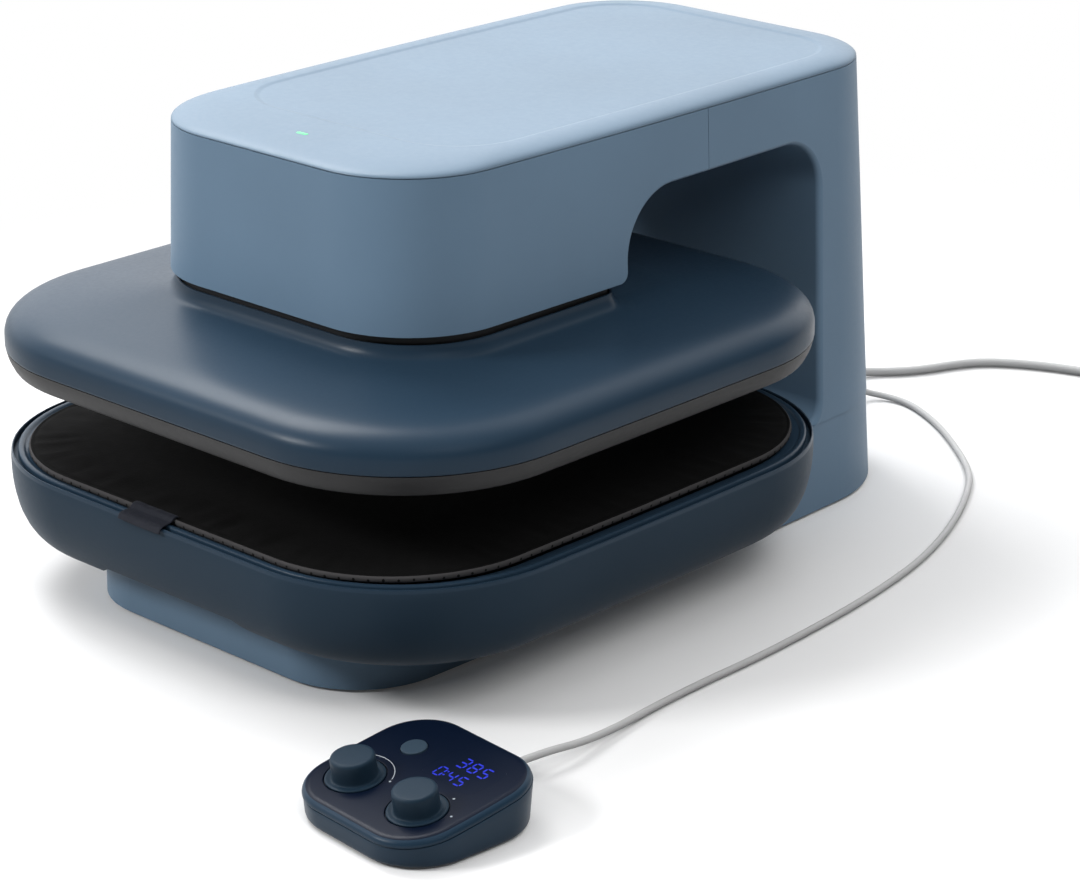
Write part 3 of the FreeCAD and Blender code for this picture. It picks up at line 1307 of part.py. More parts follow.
def dial_encoders():
    """Two like encoders, each with a blind bore for its spindle."""
    top, half = d.pod_board_top, d.encoder_half
    bodies = []
    for place in dial_places():
        block = Part.makeBox(2 * half, 2 * half, d.encoder_height, place + Vector(-half, -half, top))
        bore = Part.makeCylinder(d.spindle_radius + d.running, OVER, place + Vector(0, 0, top + 2 * d.fit_gap))
        bodies.append(block.cut(bore))
    return Part.makeCompound(bodies)


POD_TOP = ("placement(vector(pod_x; pod_y; 0); rotation(vector(0;0;1); pod_turn))"
           " * placement(vector(0; 0; pod_seam_height); rotation(vector(1;0;0); pod_slope))")


def seat_on_pod(thing, x, y):
    """Places a turned piece on the pod's sloping top."""
    seat = f"placement(vector({x}; {y}; 0); rotation(vector(0;0;1); 0))"
    thing.setExpression("Placement", bound(f"{POD_TOP} * {seat}"))


# Build: body


skin = body_shell()
solid("post_shell", post_shell(skin))
solid("head_shell", head_shell(skin))
solid("top_cover", top_cover())
solid("status_light", status_light())
solid("base_shell", base_shell())
solid("base_plate", base_plate())
solid("foot_ring", foot_ring())

# Build: frame

SPACERS = (("spacer_front", "spacer_low"), ("spacer_foot", "spacer_low"), ("spacer_post", "spacer_middle"),
           ("spacer_post", "spacer_high"), ("frame_head_front + spacer_nose", "frame_top - spacer_nose"))

FRAME_OUTLINE = [
    ("frame_front", "frame_foot"), ("rear_floor - rear_lean * frame_foot - frame_wall_gap", "frame_foot"),
    ("rear_floor - rear_lean * frame_top - frame_wall_gap", "frame_top"), ("frame_head_front", "frame_top"),
    ("frame_head_front", "head_plate_top"), ("frame_head_rear", "head_plate_top"),
    ("frame_head_rear", "arch_roof + frame_arm_gap"),
    ("post_front + frame_post_gap", "arch_roof + frame_arm_gap"),
    ("post_front + frame_post_gap", "frame_foot_top"), ("frame_front", "frame_foot_top"),
]


def side_plate(label, lift):
    holes = [(y, z, "bolt_radius + fit_gap") for y, z in SPACERS]
    return node(padded(label, "YZ_Plane", FRAME_OUTLINE, holes, "frame_thickness", lift), label)


side_plate("frame_left", "-frame_inner - frame_thickness")
side_plate("frame_right", "frame_inner")

ACROSS = Rotation(Vector(0, 1, 0), 90)


def bar(index, y, z):
    """A round bar between the side plates, bored for a bolt at each end."""
    rod = cylinder(f"bar_{index}", "spacer_radius", "2 * frame_inner", "-frame_inner", y, z, ACROSS)
    depth = "bolt_reach - frame_thickness"
    bores = [cylinder(f"bar_{index}_bore_{side}", "bolt_radius", depth, x, y, z, ACROSS)
             for side, x in enumerate(("-frame_inner", "frame_inner - bolt_reach + frame_thickness"))]
    return cut(f"bar_{index}_bored", rod, fused(f"bar_{index}_bores", bores))


def bolt(index, y, z, side):
    """A bolt through a side plate into a bar."""
    outside = "frame_inner + frame_thickness"
    head_x = outside if side > 0 else "-frame_inner - frame_thickness - bolt_head_height"
    shank_x = "frame_inner - bolt_reach + frame_thickness" if side > 0 else "-frame_inner - frame_thickness"
    name = f"bolt_{index}_{'right' if side > 0 else 'left'}"
    head = cylinder(name + "_head", "bolt_head", "bolt_head_height", head_x, y, z, ACROSS)
    shank = cylinder(name + "_shank", "bolt_radius", "bolt_reach", shank_x, y, z, ACROSS)
    return fused(name, [head, shank])


node(grouped("frame_spacers", [bar(k, y, z) for k, (y, z) in enumerate(SPACERS)]), "frame_spacers")
bolts = [bolt(k, y, z, side) for k, (y, z) in enumerate(SPACERS) for side in (-1, 1)]
node(grouped("frame_bolts", bolts), "frame_bolts")

beams = [box(f"beam_{k}", "2 * beam_half", "beam_width", "base_top - base_wall - fit_gap - frame_foot_top",
             "-beam_half", f"{k} * beam_pitch - beam_width / 2", "frame_foot_top") for k in (-1, 0, 1)]
node(grouped("bed_beams", beams), "bed_beams")

GUIDES = [(x, y) for x in ("-guide_x", "guide_x") for y in ("-guide_y", "guide_y")]
HEAD_PLATE = [
    ("-head_plate_half", "head_plate_front + head_plate_cut_y"),
    ("-head_plate_half + head_plate_cut_x", "head_plate_front"),
    ("head_plate_half - head_plate_cut_x", "head_plate_front"),
    ("head_plate_half", "head_plate_front + head_plate_cut_y"),
    ("head_plate_half", "head_plate_back"),
    ("-head_plate_half", "head_plate_back"),
]
plate_holes = [(x, y, "bush_outer") for x, y in GUIDES] + [("0", "0", "bearing_radius")]
head_plate = padded("head_plate", "XY_Plane", HEAD_PLATE, plate_holes,
                    "head_plate_thickness", "head_plate_bottom")
node(head_plate, "head_plate")


def bush(index, x, y):
    """Flanged bush for one guide rod."""
    bore, top = "rod_radius + running", "bush_bottom + bush_height"
    flange_top = "head_plate_top + bush_flange_height"
    return turned(f"guide_bush_{index}", [
        (bore, "bush_bottom"), ("bush_outer", "bush_bottom"), ("bush_outer", "head_plate_top"),
        ("bush_flange", "head_plate_top"), ("bush_flange", flange_top), ("bush_outer", flange_top),
        ("bush_outer", top), (bore, top)], x, y)


node(grouped("guide_bushes", [bush(k, x, y) for k, (x, y) in enumerate(GUIDES)]), "guide_bushes")

bearing = turned("screw_bearing", [
    ("screw_radius + running", "head_plate_bottom"), ("bearing_radius", "head_plate_bottom"),
    ("bearing_radius", "head_plate_top"), ("screw_radius + running", "head_plate_top")])
node(bearing, "screw_bearing")

motor_edge = rectangle("frame_inner", "pinion_y - motor_plate_half", "pinion_y + motor_plate_half")
motor_floor = padded("motor_plate", "XY_Plane", motor_edge, [("0", "pinion_y", "shaft_radius + running")],
                     "motor_plate_thickness", "motor_plate_bottom")
node(motor_floor, "motor_plate")

motor = turned("drive_motor", [
    ("shaft_radius + running", "motor_bottom"), ("motor_radius", "motor_bottom"),
    ("motor_radius", "motor_bottom + motor_height - 2"), ("motor_radius - 2", "motor_bottom + motor_height"),
    ("0", "motor_bottom + motor_height"), ("0", "shaft_top + fit_gap"),
    ("shaft_radius + running", "shaft_top + fit_gap")], "0", "pinion_y")
node(motor, "drive_motor")

# Build: lower tray and bed

solid("tray_shell", tray_shell())
solid("tray_bezel", tray_bezel())
solid("press_bed", press_bed())
solid("press_mat", press_mat())
solid("mat_tag", mat_tag())

# Build: electronics in the base

PARTS_ON_POWER = ((-40, 20, 26, 34, 24), (4, 18, 30, 22, 16), (-34, 70, 18, 18, 28), (10, 62, 28, 30, 12))
PARTS_ON_CONTROL = ((-44, 16, 20, 20, 6), (-6, 22, 24, 24, 3), (30, 14, 14, 30, 10))


def board(label, front, length, parts):
    """Circuit board with its larger components standing on it: x, y from its front, width, depth, height."""
    plate = box(label + "_plate", "2 * board_half", length, "pcb", "-board_half", front, "board_level")
    blocks = []
    for k, (x, y, width, depth, height) in enumerate(parts):
        name = f"{label}_part_{k}"
        blocks.append(box(name, str(width), str(depth), str(height),
                          str(x), f"{front} + {y}", "board_level + pcb"))
    return node(fused(label, [plate] + blocks), label)


board("power_board", "power_board_front", "power_board_length", PARTS_ON_POWER)
board("control_board", "control_board_front", "control_board_length", PARTS_ON_CONTROL)

# Build: switch at the back

def switch_housing():
    """Body and flange of the mains switch, with a pocket for the rocker."""
    body = centred_box(2 * (d.switch_half - d.switch_lip), -d.switch_depth, 0, d.switch_tall - 2 * d.switch_lip)
    flange = centred_box(2 * d.switch_half, 0, d.switch_flange, d.switch_tall)
    pocket = centred_box(2 * (d.switch_half - d.rocker_margin), -d.rocker_depth, d.switch_flange,
                         2 * (d.rocker_half + d.rocker_gap))
    reach = rocker_pin_reach() + d.running
    start, along = Vector(-reach, d.rocker_pivot, 0), Vector(1, 0, 0)
    pin = Part.makeCylinder(d.rocker_pin + d.running, 2 * reach, start, along)
    return body.fuse(flange).cut(pocket).cut(pin)


def rocker_pin_reach():
    return d.switch_half - d.rocker_margin + d.rocker_pin


def switch_rocker():
    """Rocker on its pin, its face a shallow V, drawn tilted to its off side."""
    half_width = d.switch_half - d.rocker_margin - d.fit_gap
    low, high = -d.rocker_half * 0.6, d.switch_flange + 1
    section = [(low, -d.rocker_half), (high, -d.rocker_half), (d.switch_flange, 0), (high, d.rocker_half),
               (low, d.rocker_half)]
    reach = rocker_pin_reach()
    pin = Part.makeCylinder(d.rocker_pin, 2 * reach, Vector(-reach, d.rocker_pivot, 0), Vector(1, 0, 0))
    rocker = prism(section, -half_width, half_width).fuse(pin)
    rocker.rotate(Vector(0, d.rocker_pivot, 0), Vector(1, 0, 0), -d.switch_throw / 2)
    return rocker


solid("switch_housing", switch_housing(), switch_place())
solid("switch_rocker", switch_rocker(), switch_place())

# Build: upper platen

solid("platen_cover", platen_cover())
solid("heat_shield", heat_shield())
solid("platen_sleeve", platen_sleeve())
solid("heat_plate", heat_plate())
solid("heating_element", heating_element())
solid("ceramic_board", ceramic_board())
node(cylinder("temperature_sensor", "sensor_radius", "board_top - plate_top", "0", "sensor_y", "plate_top"),
     "temperature_sensor")
node(cylinder("thermal_cutout", "cutout_radius", "board_top - plate_top", "0", "-sensor_y", "plate_top"),
     "thermal_cutout")

STANDOFFS = [(x, y) for x in ("-standoff_x", "standoff_x") for y in ("-standoff_y", "standoff_y")]
standoffs = [cylinder(f"standoff_{k}", "standoff_radius", "crosshead_bottom - plate_top", x, y, "plate_top")
             for k, (x, y) in enumerate(STANDOFFS)]
node(grouped("plate_standoffs", standoffs), "plate_standoffs")

crosshead_holes = [(x, y, "rod_radius") for x, y in GUIDES] + [("0", "0", "column_bore")]
crosshead_edge = rectangle("crosshead_half_width", "-crosshead_half_depth", "crosshead_half_depth")
crosshead = padded("crosshead", "XY_Plane", crosshead_edge, crosshead_holes, "crosshead_thickness",
                   "crosshead_bottom")
node(crosshead, "crosshead")


def guide_rod(index, x, y):
    return turned(f"guide_rod_{index}", [
        ("0", "crosshead_bottom"), ("rod_radius", "crosshead_bottom"), ("rod_radius", "rod_top - 1.5"),
        ("rod_radius - 1.5", "rod_top"), ("0", "rod_top")], x, y)


node(grouped("guide_rods", [guide_rod(k, x, y) for k, (x, y) in enumerate(GUIDES)]), "guide_rods")

node(turned("drive_column", [
    ("column_bore", "crosshead_top"), ("column_radius", "crosshead_top"), ("column_radius", "nut_bottom"),
    ("column_bore", "nut_bottom")]), "drive_column")
node(turned("drive_nut", [
    ("screw_radius + running", "nut_bottom"), ("nut_radius", "nut_bottom"), ("nut_radius", "nut_top - 1"),
    ("nut_radius - 1", "nut_top"), ("screw_radius + running", "nut_top")]), "drive_nut")

# Build: screw and pinion

collar_top = "head_plate_bottom - running"
node(turned("lead_screw", [
    ("0", "screw_tail"), ("screw_radius - 1", "screw_tail"), ("screw_radius", "screw_tail + 1"),
    ("screw_radius", f"{collar_top} - collar_height"), ("collar_radius", f"{collar_top} - collar_height"),
    ("collar_radius", collar_top), ("screw_radius", collar_top), ("screw_radius", "gear_bottom"),
    ("journal_radius", "gear_bottom"), ("journal_radius", "screw_top"), ("0", "screw_top")]), "lead_screw")

solid("screw_gear", gear(d.gear_teeth, d.journal_radius, d.gear_width, -math.pi / 2),
      Placement(Vector(0, 0, d.gear_bottom), Rotation()))
pinion = gear(d.pinion_teeth, 0, d.gear_width, math.pi / 2 + math.pi / d.pinion_teeth)
pinion = pinion.fuse(Part.makeCylinder(d.shaft_radius, d.shaft_top - d.gear_bottom))
solid("drive_pinion", pinion, Placement(Vector(0, d.pinion_y, d.gear_bottom), Rotation()))

# Build: control pod

solid("pod_base", pod_base(), pod_place())
pads = Part.makeCompound([Part.makeCylinder(d.pod_pad_radius, d.pod_floor_gap, Vector(x, y, 0))
                          for x in (-d.pod_pad_x, d.pod_pad_x) for y in (-d.pod_pad_y, d.pod_pad_y)])
solid("pod_feet", pads, pod_place())
solid("pod_cover", pod_cover(), pod_top_place())
window_low = d.pod_cover_rise - d.window_thickness
solid("display_window", window_block(0, window_low, d.window_thickness), pod_top_place())
solid("pod_board", pod_board(), pod_top_place())
solid("dial_encoders", dial_encoders(), pod_top_place())

def spindle(label, x):
    low = "pod_board_top + encoder_height * 0.3"
    made = turned(label, [("0", low), ("spindle_radius", low), ("spindle_radius", "spindle_top"),
                          ("0", "spindle_top")])
    seat_on_pod(made, x, "dial_y")
    return node(made, label)


def dial(label, x):
    """A round knob with a thin dished flange and a soft top edge."""
    made = turned(label, [
        ("spindle_radius + running", "dial_bottom"), ("dial_flange", "dial_bottom"),
        ("dial_flange", "dial_bottom + dial_flange_edge"),
        ("dial_flange - 0.5", "dial_bottom + dial_flange_edge + 0.4"),
        ("dial_radius + 0.7", "dial_bottom + dial_flange_edge + 0.1"),
        ("dial_radius + 0.1", "dial_bottom + dial_flange_edge + 1"), ("dial_radius", "dial_top - dial_round"),
        ("dial_radius - 0.3 * dial_round", "dial_top - 0.3 * dial_round"),
        ("dial_radius - dial_round", "dial_top"),
        ("0", "dial_top"), ("0", "spindle_top"), ("spindle_radius + running", "spindle_top")])
    seat_on_pod(made, x, "dial_y")
    return node(made, label)


spindle("temperature_spindle", "dial_left")
dial("temperature_dial", "dial_left")
spindle("time_spindle", "dial_right")
dial("time_dial", "dial_right")

button = turned("pod_button", [
    ("0", "button_bottom"), ("2", "button_bottom"), ("2", "button_ledge - 1"),
    ("button_radius + button_flange", "button_ledge - 1"), ("button_radius + button_flange", "button_ledge"),
    ("button_radius", "button_ledge"), ("button_radius", "pod_cover_rise + button_proud - 0.5"),
    ("button_radius - 0.6", "pod_cover_rise + button_proud"), ("0", "pod_cover_rise + button_proud")])
seat_on_pod(button, "button_x", "button_y")
node(button, "pod_button")


# Build: strain reliefs, leads, coil and plug


def strain_relief(lead_radius, length):
    """Barrel in the wall, flange and tapered sleeve, along +Z from the wall's face."""
    radius, thickness = relief_barrel(lead_radius), d.relief_flange_height
    barrel = Part.makeCylinder(radius, d.relief_inside, Vector(0, 0, -d.relief_inside))
    flange = Part.makeCylinder(radius + d.relief_flange, thickness)
    sleeve = Part.makeCone(radius, lead_radius + d.relief_tip, length - thickness, Vector(0, 0, thickness))
    return barrel.fuse([flange, sleeve])


BACKWARD = Rotation(Vector(1, 0, 0), -90)
wall_face = rear(d.lead_height - relief_barrel(d.mains_radius) - d.relief_flange) + d.fit_gap
solid("mains_strain_relief", strain_relief(d.mains_radius, d.mains_relief),
      Placement(Vector(d.mains_x, wall_face, d.lead_height), BACKWARD))
solid("pod_lead_strain_relief", strain_relief(d.pod_lead_radius, d.pod_relief),
      Placement(Vector(d.pod_lead_x, wall_face, d.lead_height), BACKWARD))

boot_place = pod_place() * Placement(Vector(d.pod_lead_side, d.pod_half_depth, d.pod_lead_entry), BACKWARD)
boot = Part.makeCylinder(boot_radius(), d.pod_boot / 2, Vector(0, 0, -d.pod_boot / 2))
boot = boot.fuse(Part.makeCone(boot_radius(), d.pod_lead_radius + d.relief_tip, d.pod_boot))
solid("pod_lead_boot", boot, boot_place)
boot_mouth = boot_place.multVec(Vector(0, 0, d.pod_boot))
boot_way = boot_place.Rotation.multVec(Vector(0, 0, 1))

coil_start, coil_end = coil_ends()
mains_start = Vector(d.mains_x, wall_face + d.mains_relief, d.lead_height)
MAINS_ROUTE = [
    (-24, 413, 30), (-23, 436, 20), (-18, 461, 7.5), (-8, 483.5, 3.4), (8, 500, 3.3), (20, 518, 3.3),
    (29, 541, 3.3), (42, 562, 3.3), (65, 577.5, 3.3), (92, 589.5, 3.3), (121, 597.5, 3.3), (150, 600.2, 3.3),
]
lead("mains_lead", [mains_start] + [Vector(*point) for point in MAINS_ROUTE] + [coil_start], d.mains_radius)

spiral = coil_path()
solid("mains_coil", tube("mains_coil", spiral, d.mains_radius))
print(f"mains_coil: least gap to itself {least_gap(spiral, d.mains_radius):.2f} mm")

pod_start = Vector(d.pod_lead_x, wall_face + d.pod_relief, d.lead_height)
POD_ROUTE = [
    (14, 402, 30), (14.6, 421, 19.5), (20, 440, 6.5), (34, 452, 2.8), (54, 452.3, 2.35), (79, 440.5, 2.35),
    (106, 423.5, 2.35), (134, 401, 2.35), (158, 379.8, 2.35), (176, 359.5, 2.35), (191, 335, 2.35),
    (209.3, 299.8, 2.35), (226, 258, 2.35), (238.5, 216, 2.35), (246.3, 172, 2.35), (251.5, 128, 2.35),
    (254.6, 82, 2.35), (256.3, 34, 2.35), (255.3, -12, 2.35), (256, -56, 2.35), (259.5, -95, 3),
    (262.5, -128, 6),
]
pod_before = boot_mouth + boot_way * 2 * d.pod_boot
pod_route = [Vector(*point) for point in POD_ROUTE]
lead("pod_lead", [pod_start] + pod_route + [pod_before, boot_mouth], d.pod_lead_radius)


def plug():
    """Two-blade plug with its body flat on the floor, along +Y from the lead's end."""
    x, y, z = coil_end
    tip = d.mains_radius + d.relief_tip
    neck = Part.makeCone(tip, d.mains_radius + 3, d.plug_neck, coil_end, Vector(0, 1, 0))
    face = y + d.plug_neck
    low = max(z - d.plug_height / 2, 0.1)
    body = Part.makeBox(d.plug_width, d.plug_length, d.plug_height, Vector(x - d.plug_width / 2, face, low))
    body = body.makeFillet(d.plug_round, body.Edges)
    corner = Vector(x - d.blade_thickness / 2, face + d.plug_length - 1, z - d.blade_width / 2)
    blades = [Part.makeBox(d.blade_thickness, d.blade_length + 1, d.blade_width, corner + Vector(side, 0, 0))
              for side in (-d.blade_half_spacing, d.blade_half_spacing)]
    return body.fuse([neck] + blades)


solid("mains_plug", plug())

doc.recompute()

# Checks and export

faults = [thing.Name for thing in doc.Objects if "Invalid" in thing.State or "Error" in thing.State]
faults += [thing.Label for thing in NODES if thing.Shape.isNull() or not thing.Shape.isValid()]
if faults:
    raise RuntimeError("failed: " + ", ".join(faults))

os.makedirs("parts", exist_ok=True)
for thing in NODES:
    thing.Shape.exportStep(f"parts/{thing.Label}.step")
print(f"{len(NODES)} sub-parts written")
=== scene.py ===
import bpy
import bmesh
import json
import math
import random
from mathutils import Matrix, Vector
from mathutils.noise import noise as noise_at


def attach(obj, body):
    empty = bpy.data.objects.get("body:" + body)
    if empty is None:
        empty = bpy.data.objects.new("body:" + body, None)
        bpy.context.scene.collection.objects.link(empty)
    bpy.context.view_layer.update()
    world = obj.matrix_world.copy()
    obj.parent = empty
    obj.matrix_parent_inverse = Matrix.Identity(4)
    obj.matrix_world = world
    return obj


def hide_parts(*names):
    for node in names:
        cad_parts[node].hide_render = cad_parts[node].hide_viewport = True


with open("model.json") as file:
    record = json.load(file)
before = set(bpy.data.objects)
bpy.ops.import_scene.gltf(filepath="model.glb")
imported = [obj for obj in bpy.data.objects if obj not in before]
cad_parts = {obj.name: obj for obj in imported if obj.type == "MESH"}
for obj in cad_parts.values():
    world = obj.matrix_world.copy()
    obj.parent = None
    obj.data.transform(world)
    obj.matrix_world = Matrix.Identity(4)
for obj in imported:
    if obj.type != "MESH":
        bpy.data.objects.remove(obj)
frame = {"nodes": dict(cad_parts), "record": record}

scene = bpy.context.scene
NODES = frame["nodes"]
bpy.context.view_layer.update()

# Camera: its place and target in metres, sensor and lens in millimetres
CAMERA_PLACE = Vector((1.355566, -1.333852, 0.801260))
CAMERA_TARGET = Vector((-0.000347, 0.117763, 0.049802))
CAMERA_SENSOR = 36
CAMERA_LENS = 107.0
CAMERA_REACH = 60

camera_data = bpy.data.cameras.new("camera")
camera_data.sensor_width = CAMERA_SENSOR
camera_data.lens = CAMERA_LENS
camera_data.clip_end = CAMERA_REACH
camera = bpy.data.objects.new("camera", camera_data)
camera.location = CAMERA_PLACE
camera.rotation_euler = (CAMERA_TARGET - CAMERA_PLACE).to_track_quat("-Z", "Y").to_euler()
scene.collection.objects.link(camera)
scene.camera = camera


# Materials
def new_material(name):
    """An empty node material with its tree and its shader."""
    material = bpy.data.materials.new(name)
    material.use_nodes = True
    tree = material.node_tree
    return material, tree, tree.nodes["Principled BSDF"]


def add(tree, kind, *inputs, **values):
    """A node of that kind. Inputs fill its sockets in order, and values name a property or a socket of it.

    What is given for a socket is a plain value, or another node's output to link.
    """
    node = tree.nodes.new(kind)
    for key, value in [*values.items(), *enumerate(inputs)]:
        if isinstance(key, str) and hasattr(node, key):
            setattr(node, key, value)
            continue
        socket = node.inputs[key.replace("_", " ") if isinstance(key, str) else key]
        if isinstance(value, bpy.types.NodeSocket):
            tree.links.new(value, socket)
        else:
            socket.default_value = value
    return node


def ramp(tree, source, low, high, start=0.3, end=0.7):
    """Two colours, mixed by the source's value between start and end."""
    node = add(tree, "ShaderNodeValToRGB", Fac=source)
    for element, position, colour in zip(node.color_ramp.elements, (start, end), (low, high)):
        element.position = position
        element.color = (*colour, 1)
    return node.outputs["Color"]


def spread(tree, source, low, high):
    """The source's value from 0.25 to 0.75, spread over low to high."""
    node = add(tree, "ShaderNodeMapRange", Value=source, From_Min=0.25, From_Max=0.75, To_Min=low, To_Max=high)
    return node.outputs["Result"]


def noise(tree, scale, detail=3.0, stretch=(1, 1, 1)):
    """Noise in the object's own metres, that many cells to a metre."""
    coordinates = add(tree, "ShaderNodeTexCoord")
    mapping = add(tree, "ShaderNodeMapping", Vector=coordinates.outputs["Object"], Scale=stretch)
    return add(tree, "ShaderNodeTexNoise", Vector=mapping.outputs["Vector"], Scale=scale, Detail=detail).outputs["Fac"]


def bump(tree, shader, source, strength, height):
    node = add(tree, "ShaderNodeBump", Height=source, Strength=strength, Distance=height)
    tree.links.new(node.outputs["Normal"], shader.inputs["Normal"])


def shade(colour, factor):
    return tuple(min(1.0, part * factor) for part in colour)


# Cells to a metre in a plastic's slow change of colour, its specks against its grain, and their change of gloss
CLOUD = 9.0
SPECK = 0.2
SPECK_GLOSS = 0.03


def moulded(name, colour, roughness, grain=1400.0, depth=0.00004, strength=0.25, spread_by=0.05, shine=0.3):
    """Moulded plastic: a fine spark texture, a slight change of colour and gloss from place to place."""
    material, tree, shader = new_material(name)
    shader.inputs["Specular IOR Level"].default_value = shine
    colours = ramp(tree, noise(tree, CLOUD, 4.0), shade(colour, 1 - spread_by), shade(colour, 1 + spread_by))
    tree.links.new(colours, shader.inputs["Base Color"])
    gloss = spread(tree, noise(tree, grain * SPECK, 3.0), roughness - SPECK_GLOSS, roughness + SPECK_GLOSS)
    tree.links.new(gloss, shader.inputs["Roughness"])
    bump(tree, shader, noise(tree, grain, 2.0), strength, depth)
    return material


def metal(name, colour, roughness, stretch=(1, 1, 1), grain=500.0, strength=0.15):
    """Bare metal with a brushed or cast grain."""
    material, tree, shader = new_material(name)
    shader.inputs["Metallic"].default_value = 1.0
    lines = noise(tree, grain, 4.0, stretch)
    tree.links.new(ramp(tree, lines, shade(colour, 0.86), shade(colour, 1.08)), shader.inputs["Base Color"])
    tree.links.new(spread(tree, lines, roughness - 0.07, roughness + 0.09), shader.inputs["Roughness"])
    bump(tree, shader, lines, strength, 0.00005)
    return material


def glowing(material, colour, strength):
    """Give the material a light of its own."""
    shader = material.node_tree.nodes["Principled BSDF"]
    shader.inputs["Emission Color"].default_value = (*colour, 1)
    shader.inputs["Emission Strength"].default_value = strength


SATIN = {"grain": 1800.0, "depth": 0.00002, "strength": 0.2}
SHELL = moulded("shell blue", (0.156, 0.248, 0.352), 0.46)
# The lid's copy of shell blue is toned greyer and less blue than the shell: painted shade on its brightly lit top.
LID = moulded("lid blue, painted shade", (0.168, 0.243, 0.325), 0.42)
NAVY = moulded("satin navy", (0.020, 0.042, 0.070), 0.34, shine=0.17, **SATIN)
TRAY = moulded("tray navy", (0.026, 0.046, 0.070), 0.42, shine=0.06, **SATIN)
POD_SIDE = moulded("pod side navy", (0.016, 0.037, 0.064), 0.36, shine=0.17, **SATIN)
# The pod cover's upward faces take this much darker copy of the pod navy: painted shade for the dark reflection on its
# top.
PAINTED_DARK_POD_FACE = moulded("pod face navy, painted shade", (0.0022, 0.006, 0.018), 0.36, shine=0.13, **SATIN)
SLATE = moulded("slate dial", (0.013, 0.029, 0.048), 0.48, grain=1600.0, shine=0.14)
CAP = moulded("slate cap", (0.034, 0.058, 0.085), 0.48, grain=1600.0, shine=0.14)
CHARCOAL = moulded("charcoal", (0.021, 0.021, 0.022), 0.5)
GRAPHITE = moulded("graphite", (0.018, 0.019, 0.021), 0.5)
RUBBER = moulded("black rubber", (0.012, 0.012, 0.013), 0.75, grain=900.0, depth=0.0001)
STEEL = metal("steel", (0.56, 0.57, 0.58), 0.32, (1, 1, 14))
PAINTED = moulded("painted steel", (0.10, 0.105, 0.11), 0.5, grain=500.0, depth=0.00008)
ALUMINIUM = metal("aluminium", (0.72, 0.73, 0.74), 0.36, (14, 1, 1))
COATED = moulded("coated plate", (0.020, 0.020, 0.021), 0.38, grain=700.0, depth=0.00005)
BRASS = metal("brass", (0.72, 0.52, 0.22), 0.33)
GEAR = moulded("gear plastic", (0.78, 0.76, 0.70), 0.45)
INSULATION = moulded("ceramic board", (0.72, 0.70, 0.65), 0.85, grain=420.0, depth=0.0003, strength=0.5)
BOARD = moulded("circuit board", (0.020, 0.115, 0.055), 0.38, grain=600.0)
LEAD_GREY = moulded("lead grey", (0.57, 0.57, 0.57), 0.5, grain=900.0, depth=0.00005)
PLUG_GREY = moulded("plug grey", (0.44, 0.44, 0.45), 0.5, grain=900.0)
MAT = moulded("mat cloth", (0.008, 0.008, 0.008), 0.8, grain=700.0, depth=0.0003, strength=0.5, shine=0.04)
BAND = moulded("mat binding", (0.070, 0.068, 0.070), 0.85, grain=900.0, depth=0.0002, strength=0.5, shine=0.1)
PUNCH = moulded("mat punches", (0.003, 0.003, 0.003), 0.9, grain=900.0)
TAG = moulded("tag cloth", (0.012, 0.014, 0.022), 0.8, grain=1100.0, depth=0.0003, strength=0.6)
PRINT = moulded("pale print", (0.42, 0.46, 0.50), 0.5, grain=900.0)
WINDOW = moulded("display window", (0.0022, 0.006, 0.018), 0.34, depth=0.000004, strength=0.05, shine=0.13)
LENS = moulded("status lens", (0.08, 0.42, 0.20), 0.3)
FIGURES = moulded("blue figures", (0.01, 0.02, 0.30), 0.4, grain=900.0, strength=0.0)
glowing(LENS, (0.09, 0.62, 0.24), 0.6)
glowing(FIGURES, (0.012, 0.022, 0.60), 0.6)

FINISHES = {
    "shell_blue": SHELL, "shell_navy": NAVY, "graphite": GRAPHITE, "steel": STEEL, "painted_steel": PAINTED,
    "coated_aluminium": COATED, "aluminium": ALUMINIUM, "brass": BRASS, "mat_rubber": MAT, "rubber": RUBBER,
    "fabric": MAT, "board": BOARD, "insulation": INSULATION, "lens": LENS, "window": WINDOW, "dial_blue": SLATE,
    "gear_plastic": GEAR, "lead_grey": LEAD_GREY, "plug_grey": PLUG_GREY,
}
for subpart in frame["record"]["subparts"]:
    node = NODES[subpart["node"]]
    node.data.materials.clear()
    node.data.materials.append(FINISHES[subpart["material_slot"]])
# The platen sleeve gets the near-black graphite finish in place of its slot's finish: painted shade for the dark gap
# under the head.
NODES["platen_sleeve"].data.materials[0] = GRAPHITE


# Cords, their diameters and points in millimetres as in the part's source
def cord_line(name, points, diameter, material):
    data = bpy.data.curves.new(name, "CURVE")
    data.dimensions = "3D"
    data.bevel_depth = diameter / 1000 / 2
    data.bevel_resolution = 5
    data.resolution_u = 12
    data.use_fill_caps = True
    spline = data.splines.new("NURBS")
    spline.points.add(len(points) - 1)
    for target, point in zip(spline.points, points):
        target.co = (point[0] / 1000, point[1] / 1000, point[2] / 1000, 1)
    spline.order_u = 3
    spline.use_endpoint_u = True
    data.materials.append(material)
    line = bpy.data.objects.new(name, data)
    scene.collection.objects.link(line)
    return line


MAINS = 6.4
MAINS_LEVEL = 3.3
COIL_CENTRE = (184, 646)
COIL_OUTER = 45.8
COIL_PITCH = 7.1
COIL_TURNS = 6.25
COIL_TAIL = 36
INWARD_TURNS = 3
REVERSAL = 0.5
POINTS_PER_TURN = 24


